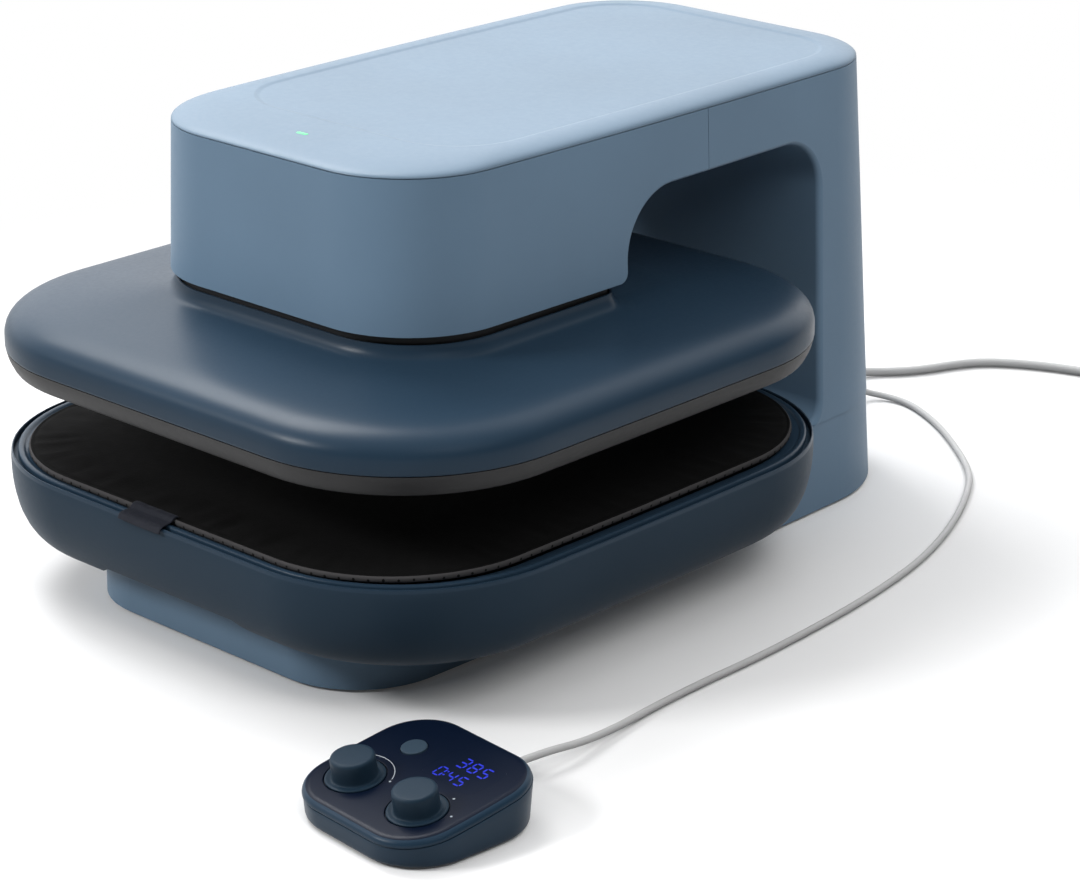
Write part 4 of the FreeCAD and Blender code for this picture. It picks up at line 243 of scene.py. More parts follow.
def coil_point(turns):
    """Middle of the lead in the coil: in along the floor, up a layer, and out again on top."""
    climb = min(max((turns - INWARD_TURNS) / REVERSAL, 0), 1)
    outward = max(turns - INWARD_TURNS - REVERSAL, 0)
    dip = 0.2 * COIL_PITCH * math.sin(math.pi * climb)
    radius = COIL_OUTER - COIL_PITCH * min(turns, INWARD_TURNS) + COIL_PITCH * outward - dip
    angle = math.tau * turns - math.pi / 2
    return (COIL_CENTRE[0] + radius * math.cos(angle), COIL_CENTRE[1] + radius * math.sin(angle),
            MAINS_LEVEL + COIL_PITCH * (1 - math.cos(math.pi * climb)) / 2)


mains_points = [
    (-24, 392.744, 30), (-24, 413, 30), (-23, 436, 20), (-18, 461, 7.5), (-8, 483.5, 3.4), (8, 500, 3.3),
    (20, 518, 3.3), (29, 541, 3.3), (42, 562, 3.3), (65, 577.5, 3.3), (92, 589.5, 3.3), (121, 597.5, 3.3),
    (150, 600.2, 3.3),
]
mains_points += [coil_point(step / POINTS_PER_TURN) for step in range(int(COIL_TURNS * POINTS_PER_TURN) + 1)]
coil_end = mains_points[-1]
mains_points += [(coil_end[0], coil_end[1] + COIL_TAIL * share, coil_end[2]) for share in (0.5, 1)]
mains = cord_line("mains_lead_line", mains_points, MAINS, LEAD_GREY)
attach(mains, "body")
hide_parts("mains_lead", "mains_coil")

POD_LEAD = 4.5
pod_points = [
    (14, 384.744, 30), (14, 402, 30), (14.6, 421, 19.5), (20, 440, 6.5), (34, 452, 2.8), (54, 452.3, 2.35),
    (79, 440.5, 2.35), (106, 423.5, 2.35), (134, 401, 2.35), (158, 379.8, 2.35), (176, 359.5, 2.35),
    (191, 335, 2.35), (209.3, 299.8, 2.35), (226, 258, 2.35), (238.5, 216, 2.35), (246.3, 172, 2.35),
    (251.5, 128, 2.35), (254.6, 82, 2.35), (256.3, 34, 2.35), (255.3, -12, 2.35), (256, -56, 2.35),
    (259.5, -95, 3), (262.5, -128, 6), (262.48, -161.26, 11.5), (260.22, -185.16, 11.5),
]
pod_line = cord_line("pod_lead_line", pod_points, POD_LEAD, LEAD_GREY)
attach(pod_line, "body")
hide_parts("pod_lead")


# Forms, in millimetres, on the same outlines as the solids
def steps(low, high, count):
    return [low + (high - low) * k / count for k in range(count + 1)]


def fullness(share, power):
    """Inward share of a round edge at a share of its height."""
    return 1 - (1 - share ** power) ** (1 / power)


def outline(half, front, back, front_corner, back_corner, bow, height, turn=18, side=14, end=10):
    """Ring of points on straight ends, bowed sides and four tangent corner arcs."""
    middle, centre = (front + back) / 2, half - bow

    def corner(line, radius, way):
        """Centre of a corner's arc, and the angle at which the bowed side takes over."""
        y = line - way * radius
        x = centre + math.sqrt((bow - radius) ** 2 - (y - middle) ** 2)
        return x, y, math.atan2(y - middle, x - centre)

    def arc(x, y, radius, angles):
        return [(x + radius * math.cos(angle), y + radius * math.sin(angle)) for angle in angles]

    x1, y1, low = corner(front, front_corner, -1)
    x2, y2, high = corner(back, back_corner, 1)
    right = arc(x1, y1, front_corner, steps(-math.pi / 2, low, turn))
    right += arc(centre, middle, bow, steps(low, high, side)[1:-1])
    right += arc(x2, y2, back_corner, steps(high, math.pi / 2, turn))
    ring = right + [(x, back) for x in steps(x2, -x2, end)[1:-1]]
    ring += [(-x, y) for x, y in reversed(right)] + [(x, front) for x in steps(-x1, x1, end)[1:-1]]
    return [Vector((x, y, height)) for x, y in ring]


def skin(rings, closed=False, caps=""):
    """A mesh of quads through rings of equally many points; closed joins the last ring to the first."""
    form = bmesh.new()
    rows = [[form.verts.new(point * 0.001) for point in ring] for ring in rings]
    for low, high in zip(rows, rows[1:] + rows[:1] if closed else rows[1:]):
        for k in range(len(low)):
            form.faces.new((low[k - 1], low[k], high[k], high[k - 1]))
    if "first" in caps:
        form.faces.new(rows[0])
    if "last" in caps:
        form.faces.new(rows[-1])
    bmesh.ops.recalc_face_normals(form, faces=form.faces)
    return form


def made(name, form, *materials, sharp=35):
    """The form as an object with smooth faces, sharp only where it bends by more than that angle."""
    data = bpy.data.meshes.new(name)
    form.to_mesh(data)
    form.free()
    data.shade_smooth()
    data.set_sharp_from_angle(angle=math.radians(sharp))
    for material in materials:
        data.materials.append(material)
    thing = bpy.data.objects.new(name, data)
    scene.collection.objects.link(thing)
    return thing


def solid(name, rings, *materials, sharp=35):
    """An object with a closed skin: its first and last ring are filled."""
    return made(name, skin(rings, caps="first last"), *materials, sharp=sharp)


def bake(thing):
    """Apply the thing's modifiers."""
    graph = bpy.context.evaluated_depsgraph_get()
    data = bpy.data.meshes.new_from_object(thing.evaluated_get(graph))
    thing.modifiers.clear()
    old, thing.data = thing.data, data
    bpy.data.meshes.remove(old)
    return thing


def carve(thing, tool, operation="DIFFERENCE"):
    """Cut the tool's form out of the thing, or keep what they share; the tool goes."""
    cut = thing.modifiers.new("cut", "BOOLEAN")
    cut.operation = operation
    cut.solver = "EXACT"
    cut.object = tool
    bake(thing)
    bpy.data.objects.remove(tool)
    return thing


def settle(thing, sharp=35):
    """Clean shading after cuts: large faces keep their own normals."""
    thing.data.shade_smooth()
    thing.data.set_sharp_from_angle(angle=math.radians(sharp))
    normals = thing.modifiers.new("normals", "WEIGHTED_NORMAL")
    normals.keep_sharp = True
    normals.weight = 60
    return bake(thing)


def block(name, low, high, *materials):
    """A plain box, used only to cut or trim another form."""
    corners = [(low[0], low[1]), (high[0], low[1]), (high[0], high[1]), (low[0], high[1])]
    return solid(name, [[Vector((x, y, z)) for x, y in corners] for z in (low[2], high[2])], *materials)


def second_finish(thing, chosen):
    """The thing's second material goes on the faces that the test picks."""
    for face in thing.data.polygons:
        if chosen(face):
            face.material_index = 1


def stand_in(thing, body, slot, *nodes):
    """The thing rides on the body and stands for those nodes."""
    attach(thing, body)
    if nodes:
        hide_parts(*nodes)


# Body: its sizes are carried down to the floor, and its sides, front and back lean in by a share of the height
BODY_HALF, SIDE_LEAN = 136.0, 0.0405
HEAD_FRONT, FRONT_LEAN = -127.4, 0.0203
POST_BACK, REAR_LEAN = 365.3, 0.1231
FRONT_CORNER = 67
REAR_CORNER, CORNER_TAPER = 97, 0.11
SIDE_BOW = 6000
WALL = 2.5
SEAM = 0.4
PARTING = 296.5
SHELL_SPLIT = 136
HEAD_BOTTOM = 203.1
HEAD_REAR = 60
ARCH_ROOF = 256.5
POST_FRONT = 247.7
DECK = 62.0

# Reach of the tools that only cut or trim other forms
WIDE, FAR, OVER = 200, 400, 20


def body_half(height):
    return BODY_HALF - SIDE_LEAN * height


def head_front(height):
    return HEAD_FRONT + FRONT_LEAN * height


def rear(height):
    return POST_BACK - REAR_LEAN * height


def rear_corner(height):
    return REAR_CORNER - CORNER_TAPER * height


# Lid: soft rolled edge, long slope at the front, shallow panel, hidden skirt
LID_BASE = PARTING + SEAM
LID_RISE = 5.6
LID_TOP = LID_BASE + LID_RISE
LID_SIDE, LID_NOSE, LID_TAIL = 18, 60, 23
LID_SKIRT = ((4.7, 298), (4.7, 294.1), (2.7, 294.1), (2.7, LID_BASE), (0.35, LID_BASE), (0.12, LID_BASE + 0.05))
PANEL_MARGIN, PANEL_RUN, PANEL_DROP = 1, 4.5, 0.7
PANEL_FLAT = 10


def lid_ring(side, nose, tail, height):
    return outline(body_half(PARTING) - side, head_front(PARTING) + nose, rear(PARTING) - tail,
                   FRONT_CORNER - side, rear_corner(PARTING) - side, SIDE_BOW, height)


def panel_ring(inset, drop):
    return lid_ring(LID_SIDE + inset, LID_NOSE + inset, LID_TAIL + inset, LID_TOP - drop)


lid_rings = [lid_ring(inset, inset, inset, height) for inset, height in LID_SKIRT]
for angle in steps(0.06, math.pi / 2, 22):
    climb = math.sin(angle)
    even = fullness(climb, 2)
    lid_rings.append(lid_ring(LID_SIDE * even, LID_NOSE * fullness(climb, 2.4), LID_TAIL * even,
                              LID_BASE + LID_RISE * climb))
for share in steps(0, 1, 8):
    lid_rings.append(panel_ring(PANEL_MARGIN + PANEL_RUN * share, PANEL_DROP * (1 - math.cos(math.pi * share)) / 2))
lid_rings.append(panel_ring(PANEL_FLAT, PANEL_DROP))

LIGHT_Y = -88
LIGHT_STRAIGHT = 2.8
LIGHT_ROUND = 1.7
LIGHT_GAP = 0.12
LIGHT_CUT = (300.5, 305)
LIGHT_PROFILE = ((0, 300.6), (0, 302.12), (-0.12, 302.24), (-0.4, 302.3), (-0.9, 302.33))


def pill(grow, height):
    """Ring of a bar with round ends, where the status light sits."""
    radius = LIGHT_ROUND + grow
    return [Vector((math.copysign(LIGHT_STRAIGHT, math.cos(angle)) + radius * math.cos(angle),
                    LIGHT_Y + radius * math.sin(angle), height))
            for angle in (math.tau * k / 32 for k in range(32))]


lid = solid("lid", lid_rings, LID)
carve(lid, solid("light_hole", [pill(LIGHT_GAP, height) for height in LIGHT_CUT]))
settle(lid)
stand_in(lid, "body", "shell_blue", "top_cover")
lens = solid("status_lens", [pill(*row) for row in LIGHT_PROFILE], LENS, sharp=60)
stand_in(lens, "body", "lens", "status_light")


# Head and post: one skin with a soft lip round the arch, split at the seam
HEAD_HEEL = 7
ARCH_FRONT_ROUND = 42
ARCH_REAR_ROUND = 34
DECK_ROUND = 16
LIP = 4.5
LIP_START, LIP_CLEAR = -60, 20
ARCH_FLOOR = 40
LIP_TURNS = (90, 84, 70, 55, 40, 26, 13, 0)
TOOL_REACH = 60
SWITCH_HEIGHT = 100
SWITCH_CUT = (13.3, 12, 9.3)


def tower_ring(inset, height):
    return outline(body_half(height) - inset, head_front(height) + inset, rear(height) - inset,
                   FRONT_CORNER - inset, rear_corner(height) - inset, SIDE_BOW, height, turn=24)


def side_x(y, height):
    middle = (head_front(height) + rear(height)) / 2
    return body_half(height) - SIDE_BOW + math.sqrt(SIDE_BOW ** 2 - (y - middle) ** 2)


def arch_path():
    """The opening's outline as (y, z, outward y, outward z, lip radius)."""
    path = [(-FAR, ARCH_FLOOR, 0, 0, 0), (-FAR, HEAD_BOTTOM, 0, 0, 0), (LIP_START, HEAD_BOTTOM, 0, 0.001, 0.3),
            (LIP_CLEAR, HEAD_BOTTOM, 0, 1, 0.5)]

    def bend(y, z, radius, start, end, count, lips, turned=1):
        for k, angle in enumerate(steps(start, end, count)):
            turn = math.radians(angle)
            lip = lips[0] + (lips[1] - lips[0]) * k / count
            path.append((y + radius * math.cos(turn), z + radius * math.sin(turn),
                         math.cos(turn) * turned, math.sin(turn) * turned, lip))

    bend(HEAD_REAR - HEAD_HEEL, HEAD_BOTTOM + HEAD_HEEL, HEAD_HEEL, -90, 0, 8, (0.6, 1.2), -1)
    bend(HEAD_REAR + ARCH_FRONT_ROUND, ARCH_ROOF - ARCH_FRONT_ROUND, ARCH_FRONT_ROUND, 180, 90, 18, (1.4, 2.6))
    path.append((SHELL_SPLIT, ARCH_ROOF, 0, 1, 3.0))
    bend(POST_FRONT - ARCH_REAR_ROUND, ARCH_ROOF - ARCH_REAR_ROUND, ARCH_REAR_ROUND, 90, 0, 18, (3.8, LIP))
    path.append((POST_FRONT, 150, 1, 0, LIP))
    bend(POST_FRONT - DECK_ROUND, DECK + DECK_ROUND, DECK_ROUND, 0, -90, 12, (LIP, LIP))
    path.append((POST_FRONT - DECK_ROUND, ARCH_FLOOR, 0, 0, 0))
    return path


def flared_ring(side, angle):
    """The opening's outline where its lip has turned by that angle: 0 lies inside, and 90 out beyond the skin."""
    turn = math.radians(angle)
    ring = []
    for y, z, out_y, out_z, lip in arch_path():
        flare = lip * (1 - math.cos(min(turn, math.radians(LIP_TURNS[1]))))
        depth = -TOOL_REACH if angle == LIP_TURNS[0] else lip * (1 - math.sin(turn))
        ring.append(Vector((side * (side_x(y, z) - depth), y + out_y * flare, z + out_z * flare)))
    return ring


def straight_ring(x, grow):
    """The opening's outline at one x, grown by the walls."""
    return [Vector((x, y + out_y * grow, z + out_z * grow)) for y, z, out_y, out_z, _ in arch_path()]


shell = solid("shell", [tower_ring(0, DECK + SEAM / 2), tower_ring(0, PARTING)], SHELL)
carve(shell, solid("arch", [flared_ring(-1, angle) for angle in LIP_TURNS]
                   + [flared_ring(1, angle) for angle in reversed(LIP_TURNS)]))
hollow = solid("hollow", [tower_ring(WALL, DECK - OVER), tower_ring(WALL, PARTING + OVER)])
carve(hollow, solid("arch_wall", [straight_ring(-WIDE, WALL), straight_ring(WIDE, WALL)]))
carve(shell, hollow)
switch_hole = block("switch_hole", [-half for half in SWITCH_CUT], SWITCH_CUT)
switch_hole.data.transform(Matrix.Translation(Vector((0, rear(SWITCH_HEIGHT), SWITCH_HEIGHT)) * 0.001)
                           @ Matrix.Rotation(math.atan(REAR_LEAN), 4, "X"))
carve(shell, switch_hole)
head = block("head_skin", (-WIDE, -FAR, 0), (WIDE, SHELL_SPLIT - SEAM / 2, FAR), SHELL)
post = block("post_skin", (-WIDE, SHELL_SPLIT + SEAM / 2, 0), (WIDE, FAR, FAR), SHELL)
for half, node in ((head, "head_shell"), (post, "post_shell")):
    copy = bpy.data.objects.new("copy", shell.data.copy())
    scene.collection.objects.link(copy)
    carve(half, copy, "INTERSECT")
    settle(half, 30)
    stand_in(half, "body", "shell_blue", node)
bpy.data.objects.remove(shell)


# Platen: domed cover with a soft ridge round the head, and its dark ring
PLATEN_HALF_WIDTH, PLATEN_HALF_DEPTH = 210.1, 212.2
PLATEN_CORNER = 112
PLATEN_BOW = 20000
PLATEN_MIDDLE = 160.2
CROWN_INSET, CROWN_RISE, CROWN_POWER = 35.3, 18.97, 3.1
CROWN_SLOPE, SLOPE_END = 0.1, 98
INNER_RISE, INNER_POWER = 19.5, 2.64
RIDGE_BACK, RIDGE_HEEL, RIDGE_RIM = 2, 18, -4
SLEEVE_GAP, SLEEVE_HEEL = 1.6, 10
BLEND = 2.4
SHIELD_DEPTH, SHIELD_INSET = 15.8, 5


def platen_ring(inset, height):
    corner = PLATEN_CORNER - inset
    return outline(PLATEN_HALF_WIDTH - inset, inset - PLATEN_HALF_DEPTH, PLATEN_HALF_DEPTH - inset,
                   corner, corner, PLATEN_BOW, height)


def ridge_ring(reach, height):
    return outline(body_half(HEAD_BOTTOM) + reach, head_front(HEAD_BOTTOM) - reach, HEAD_REAR + RIDGE_BACK + reach,
                   FRONT_CORNER + reach, RIDGE_HEEL + reach, SIDE_BOW, height)


def sleeve_ring(inset, height):
    gap = WALL + SLEEVE_GAP + inset
    return outline(body_half(PARTING) - gap, head_front(PARTING) + gap, HEAD_REAR - gap,
                   FRONT_CORNER - gap, SLEEVE_HEEL - inset, SIDE_BOW, height)


def distance(point, ring):
    """Least distance in plan from the point to the ring's line."""
    best = 1e9
    for a, b in zip(ring, ring[1:] + ring[:1]):
        edge = (b.x - a.x, b.y - a.y)
        length = edge[0] ** 2 + edge[1] ** 2
        share = ((point.x - a.x) * edge[0] + (point.y - a.y) * edge[1]) / length if length else 0
        share = min(max(share, 0), 1)
        best = min(best, math.hypot(point.x - a.x - share * edge[0], point.y - a.y - share * edge[1]))
    return best


def blend_along(place, table):
    """Smooth value at a place between the table's (place, value) pairs."""
    if place <= table[0][0]:
        return table[0][1]
    for k in range(1, len(table)):
        if place > table[k][0]:
            continue
        a, b = table[k - 1], table[k]
        before, after = table[max(k - 2, 0)], table[min(k + 1, len(table) - 1)]
        width = b[0] - a[0]
        slope_a = (b[1] - before[1]) / max(b[0] - before[0], 1e-9)
        slope_b = (after[1] - a[1]) / max(after[0] - a[0], 1e-9)
        t = (place - a[0]) / width
        return ((2 * t ** 3 - 3 * t ** 2 + 1) * a[1] + (t ** 3 - 2 * t ** 2 + t) * width * slope_a
                + (3 * t ** 2 - 2 * t ** 3) * b[1] + (t ** 3 - t ** 2) * width * slope_b)
    return table[-1][1]


PLATEN_EDGE = platen_ring(0, 0)
RIDGE_EDGE = ridge_ring(RIDGE_RIM, 0)
CROWN_EDGE = platen_ring(36.5, 0)
RIDGE_APPROACH = ridge_ring(20, 0)

# The ridge's height by the distance from its rim, and how far out its rings stand
RIDGE_RISE = ((0, 197.3), (0.1, 196.6), (0.7, 194.3), (1.8, 192.0), (3.4, 190.1), (5.6, 188.6), (8.2, 187.5),
              (11.4, 186.6), (16, 185.4), (24, 183.5), (34, 181))
RIDGE_STEPS = (17, 14.5, 12.5, 11, 9.5, 8.2, 7, 5.8, 4.7, 3.6, 2.6, 1.7, 0.8, 0, -0.8, -1.5, -2.1, -2.6, -3, -3.3,
               -3.55, -3.75, -3.9, RIDGE_RIM)
RIDGE_INSIDE = ((-4.1, 197.45), (-4.4, 197.5), (-5, 197.5), (-5.3, 197.4), (-5.4, 197.1), (-5.4, 195), (-5.4, 188))
COVER_SKIRT = ((3, 157.45), (0.5, 157.4), (0.12, 157.55), (0, 157.9), (0, 159.2))
SHIELD_SIDE = (157.0, 155, 153, 151, 149, 147, 145.6)
SHIELD_FOOT = ((4.75, 144.9), (5.2, 144.5), (5.9, 144.4), (9, 144.4), (9, 157.0))


def dome_height(inset):
    """Height of the dome: its round edge runs into the slight slope above it."""
    share = (1 - (1 - min(inset, CROWN_INSET) / CROWN_INSET) ** CROWN_POWER) ** (1 / CROWN_POWER)
    return PLATEN_MIDDLE + (CROWN_RISE + CROWN_SLOPE * min(inset, SLOPE_END)) * share


def cover_height(point):
    """Soft union of the dome and the ridge's foot at a place on the cover."""
    dome = dome_height(distance(point, PLATEN_EDGE))
    ridge = blend_along(distance(point, RIDGE_EDGE), RIDGE_RISE)
    lean = max(BLEND - abs(dome - ridge), 0) / BLEND
    return max(dome, ridge) + lean * lean * BLEND / 4


def on_cover(ring):
    return [Vector((point.x, point.y, cover_height(point))) for point in ring]


cover_rings = [platen_ring(*row) for row in COVER_SKIRT]
for angle in steps(0.04, math.pi / 2 * 0.975, 30):
    inset = CROWN_INSET * fullness(math.sin(angle), CROWN_POWER)
    cover_rings.append(platen_ring(inset, dome_height(inset)))
for share in steps(0, 1, 16):
    cover_rings.append(on_cover([a.lerp(b, share) for a, b in zip(CROWN_EDGE, RIDGE_APPROACH)]))
cover_rings += [on_cover(ridge_ring(reach, 0)) for reach in RIDGE_STEPS]
cover_rings += [ridge_ring(*row) for row in RIDGE_INSIDE]
# Underneath: round the sleeve's foot, out under the ridge, and down inside the crown
cover_rings += [sleeve_ring(6, 188), sleeve_ring(6, 185), ridge_ring(-8, 185), platen_ring(SLOPE_END, 179.5),
                platen_ring(40, 179.6)]
for angle in reversed(steps(0.0, math.pi / 2 * 0.95, 8)):
    climb = math.sin(angle)
    cover_rings.append(platen_ring(3 + CROWN_INSET * fullness(climb, INNER_POWER), PLATEN_MIDDLE + INNER_RISE * climb))
cover = made("platen_skin", skin(cover_rings, closed=True), NAVY, sharp=50)
stand_in(cover, "platen", "shell_navy", "platen_cover")

shield_rings = [platen_ring(SHIELD_INSET * ((PLATEN_MIDDLE - height) / SHIELD_DEPTH) ** 2, height)
                for height in SHIELD_SIDE]
shield_rings += [platen_ring(*row) for row in SHIELD_FOOT]
shield = made("shield_ring", skin(shield_rings, closed=True), CHARCOAL, sharp=50)
stand_in(shield, "platen", "graphite", "heat_shield")


# Tray: bowl with a finger notch, bezel with a dark gap round it
TRAY_HALF_WIDTH, TRAY_FRONT, TRAY_BACK = 210, -214.7, 217.5
TRAY_CORNER = 115
TRAY_BOW = 6670
TRAY_MIDDLE = 84.2
TRAY_DEPTH, TRAY_INSET, TRAY_POWER = 50.5, 27, 2.33
BOWL_EDGE, BOWL_DEPTH, BOWL_INSET = 5, 47, 24
TRAY_RIM = ((0.28, 87), (0.55, 88.9), (0.72, 89.3), (1.05, 89.5), (1.4, 89.42), (1.65, 89.1), (1.75, 88.4),
            (1.9, 85.6), (BOWL_EDGE, 85.5), (BOWL_EDGE, TRAY_MIDDLE))
RIM_FINISH = 87.5
PLINTH_FRONT, PLINTH_CORNER = -176.8, 59.8
POCKET_GAP = 0.3
NOTCH_FRONT, NOTCH_BACK = -260, -181
NOTCH_SIDE = ((98, 20), (57.5, 42.7), (56.6, 43.3), (55.2, 43.5))


def tray_ring(inset, height):
    corner = TRAY_CORNER - inset
    return outline(TRAY_HALF_WIDTH - inset, TRAY_FRONT + inset, TRAY_BACK - inset, corner, corner, TRAY_BOW, height)


def base_ring(inset, height):
    return outline(body_half(height) - inset, PLINTH_FRONT + inset, rear(height) - inset, PLINTH_CORNER - inset,
                   rear_corner(height) - inset, SIDE_BOW, height)


tray_rings = []
for angle in reversed(steps(0, math.pi / 2, 26)):
    drop = math.sin(angle)
    tray_rings.append(tray_ring(TRAY_INSET * fullness(drop, TRAY_POWER), TRAY_MIDDLE - TRAY_DEPTH * drop))
tray_rings += [tray_ring(*row) for row in TRAY_RIM]
for angle in steps(0, math.pi / 2, 10):
    drop = math.sin(angle)
    tray_rings.append(tray_ring(BOWL_EDGE + BOWL_INSET * fullness(drop, TRAY_POWER), TRAY_MIDDLE - BOWL_DEPTH * drop))
tray = solid("tray_skin", tray_rings, TRAY, NAVY)
second_finish(tray, lambda face: face.center.z > RIM_FINISH / 1000)
carve(tray, solid("pocket", [base_ring(-POCKET_GAP, 10), base_ring(-POCKET_GAP, DECK + POCKET_GAP)]))
notch_line = [(-x, z) for x, z in NOTCH_SIDE] + list(reversed(NOTCH_SIDE))
carve(tray, solid("notch", [[Vector((x, y, z)) for x, z in notch_line] for y in (NOTCH_FRONT, NOTCH_BACK)]))
settle(tray, 32)
stand_in(tray, "body", "shell_navy", "tray_shell")

BEZEL_INNER, BEZEL_HALF_DEPTH, BEZEL_CORNER = 192.6, 200, 98
BEZEL_PROFILE = ((4.7, 84.4), (4.6, 87.5), (4.63, 88.9), (4.85, 89.5), (5.3, 89.95), (5.9, 90.2), (6.6, 90.25),
                 (7.3, 90.15), (8.0, 89.85), (8.6, 89.4), (9.1, 88.9), (9.7, 88.6), (10.4, 88.5))


def bezel_hole(height, grow=0.0):
    corner = BEZEL_CORNER + grow
    return outline(BEZEL_INNER + grow, -BEZEL_HALF_DEPTH - grow, BEZEL_HALF_DEPTH + grow, corner, corner,
                   TRAY_BOW, height)


bezel_rings = [tray_ring(*row) for row in BEZEL_PROFILE]
crest_foot, hole = bezel_rings[-1], bezel_hole(86.9)
bezel_rings += [[a.lerp(b, share) for a, b in zip(crest_foot, hole)] for share in (0.3, 0.6, 0.85, 1)]
bezel_rings += [bezel_hole(86.4, -0.3), bezel_hole(84.5, -0.3), bezel_hole(84.4, 2)]
bezel = made("bezel_ring", skin(bezel_rings, closed=True), NAVY, sharp=60)
stand_in(bezel, "body", "shell_navy", "tray_bezel")


# Mat: foam pad in black cloth, with a punched band round its bulging side
MAT_HALF_WIDTH, MAT_HALF_DEPTH, MAT_CORNER = 186, 197, 92
MAT_SIDE = ((60, 84.3), (3, 84.3), (1.0, 84.5), (0, 85.2), (-0.9, 86.2), (-3.0, 87.4), (-6.0, 88.5), (-7.4, 89.0),
            (-7.9, 89.6), (-8.05, 90.5), (-8.05, 91.4), (-7.75, 92.2), (-7.0, 92.8), (-6.3, 92.95), (-5.8, 92.7),
            (-5.3, 92.6), (-4.7, 92.8), (-3.5, 93.1), (-2, 93.15))
BAND_ROWS = range(4, 12)
MAT_EDGE, MAT_CROWN, CROWN_RUN = 93.15, 0.6, 80
CROWN_STEPS = (0, 2, 4.5, 7, 10, 14, 18, 22, 26, 30, 35, 40, 46, 53, 61, 70, CROWN_RUN)
FOLD_FLOOR = 92.6


def mat_ring(inset, height):
    corner = MAT_CORNER - inset
    return outline(MAT_HALF_WIDTH - inset, inset - MAT_HALF_DEPTH, MAT_HALF_DEPTH - inset, corner, corner,
                   TRAY_BOW, height, turn=30, side=50, end=36)


def fold(k, inset, point):
    """Lift of the cloth at a point: radial folds near the mat's edge, and slow waves all over."""
    near = math.exp(-((inset - 6) / 14) ** 2) if inset > -5 else 0
    fan = noise_at(Vector((k * 7.3 / 11.0, inset / 60.0, 3.0))) * near
    wave = noise_at(Vector((point.x / 46.0, point.y / 34.0, 7.0))) * (0.3 + 0.5 * near)
    return 1.4 * fan + 0.7 * wave - 0.5 * near


mat_profile = list(MAT_SIDE)
mat_profile += [(inset, MAT_EDGE + MAT_CROWN * math.sin(math.pi / 2 * inset / CROWN_RUN)) for inset in CROWN_STEPS]
mat_rings = [mat_ring(*row) for row in mat_profile]
for inset in (100, 122):
    scale = (MAT_HALF_WIDTH - inset) / (MAT_HALF_WIDTH - CROWN_RUN)
    mat_rings.append([Vector((p.x * scale, p.y * scale, MAT_EDGE + MAT_CROWN)) for p in mat_ring(CROWN_RUN, 0)])
    mat_profile.append((inset, MAT_EDGE + MAT_CROWN))
for (inset, _), ring in zip(mat_profile, mat_rings):
    for k, point in enumerate(ring):
        if point.z >= FOLD_FLOOR:
            point.z += fold(k, inset, point)
mat_form = skin(mat_rings, caps="first last")
mat_form.faces.ensure_lookup_table()
round_count = len(mat_rings[0])
for k in range(BAND_ROWS.start * round_count, BAND_ROWS.stop * round_count):
    mat_form.faces[k].material_index = 1
mat = made("mat_pad", mat_form, MAT, BAND, sharp=75)
stand_in(mat, "body", "mat_rubber", "press_mat")


def along(ring, pitch, start=0.0):
    """Places on the ring a pitch apart, each with its outward direction."""
    places, left = [], start
    for a, b in zip(ring, ring[1:] + ring[:1]):
        edge = b - a
        length = edge.length
        if length == 0:
            continue
        way = Vector((edge.y, -edge.x, 0)).normalized()
        while left < length:
            places.append((a + edge * (left / length), way))
            left += pitch
        left -= length
    return places


def dot(form, place, way, radius, height):
    """A low round dot on a surface that faces way."""
    side = way.cross(Vector((0, 0, 1))).normalized()
    up = side.cross(way)

    def corner(angle, size, lift):
        spoke = (side * math.cos(angle) + up * math.sin(angle)) * radius * size
        return form.verts.new((place + way * height * lift + spoke) * 0.001)

    tip = form.verts.new((place + way * height) * 0.001)
    inside, outside = [[corner(math.tau * k / 10, size, lift) for k in range(10)]
                       for size, lift in ((0.55, 0.8), (1.0, 0.0))]
    for k in range(10):
        form.faces.new((tip, inside[k - 1], inside[k]))
        form.faces.new((inside[k - 1], outside[k - 1], outside[k], inside[k]))


PUNCH_LEVEL = 90.6
PUNCH_PITCH = 8.6
PUNCH_HEIGHT, PUNCH_STRAY = 0.25, 0.25
dots = bmesh.new()
chance = random.Random(7)
for place, way in along(mat_ring(-8.0, PUNCH_LEVEL), PUNCH_PITCH, 2.0):
    place = place + Vector((0, 0, chance.uniform(-PUNCH_STRAY, PUNCH_STRAY)))
    dot(dots, place, way, chance.uniform(0.8, 1.0), PUNCH_HEIGHT)
bmesh.ops.recalc_face_normals(dots, faces=dots.faces)
stand_in(made("mat_punches", dots, PUNCH, sharp=60), "body", "mat_rubber")

# Tag: a folded strip of plain cloth over the mat's edge, the bezel and the rim
TAG_PATH = ((-201.5, 93.85), (-203.6, 93.85), (-205.2, 93.4), (-206.3, 92.4), (-207.5, 91.4), (-210.3, 90.95),
            (-213.6, 90.7), (-215.5, 89.95), (-216.5, 88.4), (-216.9, 86.9))
TAG_LEFT, TAG_WIDTH = -30, 38
TAG_ROWS, TAG_COLUMNS = 32, 28


def tag_point(down, across):
    """Place on the cloth by its shares of the way down and across, with soft creases and curled corners."""
    at = down * (len(TAG_PATH) - 1)
    k = min(int(at), len(TAG_PATH) - 2)
    y, z = (a + (b - a) * (at - k) for a, b in zip(TAG_PATH[k], TAG_PATH[k + 1]))
    x = TAG_LEFT + TAG_WIDTH * across
    off_middle = 2 * across - 1
    lift = 0.22 * noise_at(Vector((x / 7, y / 6, 1.5))) + 0.16 * noise_at(Vector((x / 3, y / 3, 9)))
    curl = 0.25 * abs(off_middle) ** 6 * down
    pull = -0.35 * math.sin(math.pi * down) * off_middle
    return Vector((x + pull, y, z + lift + curl))


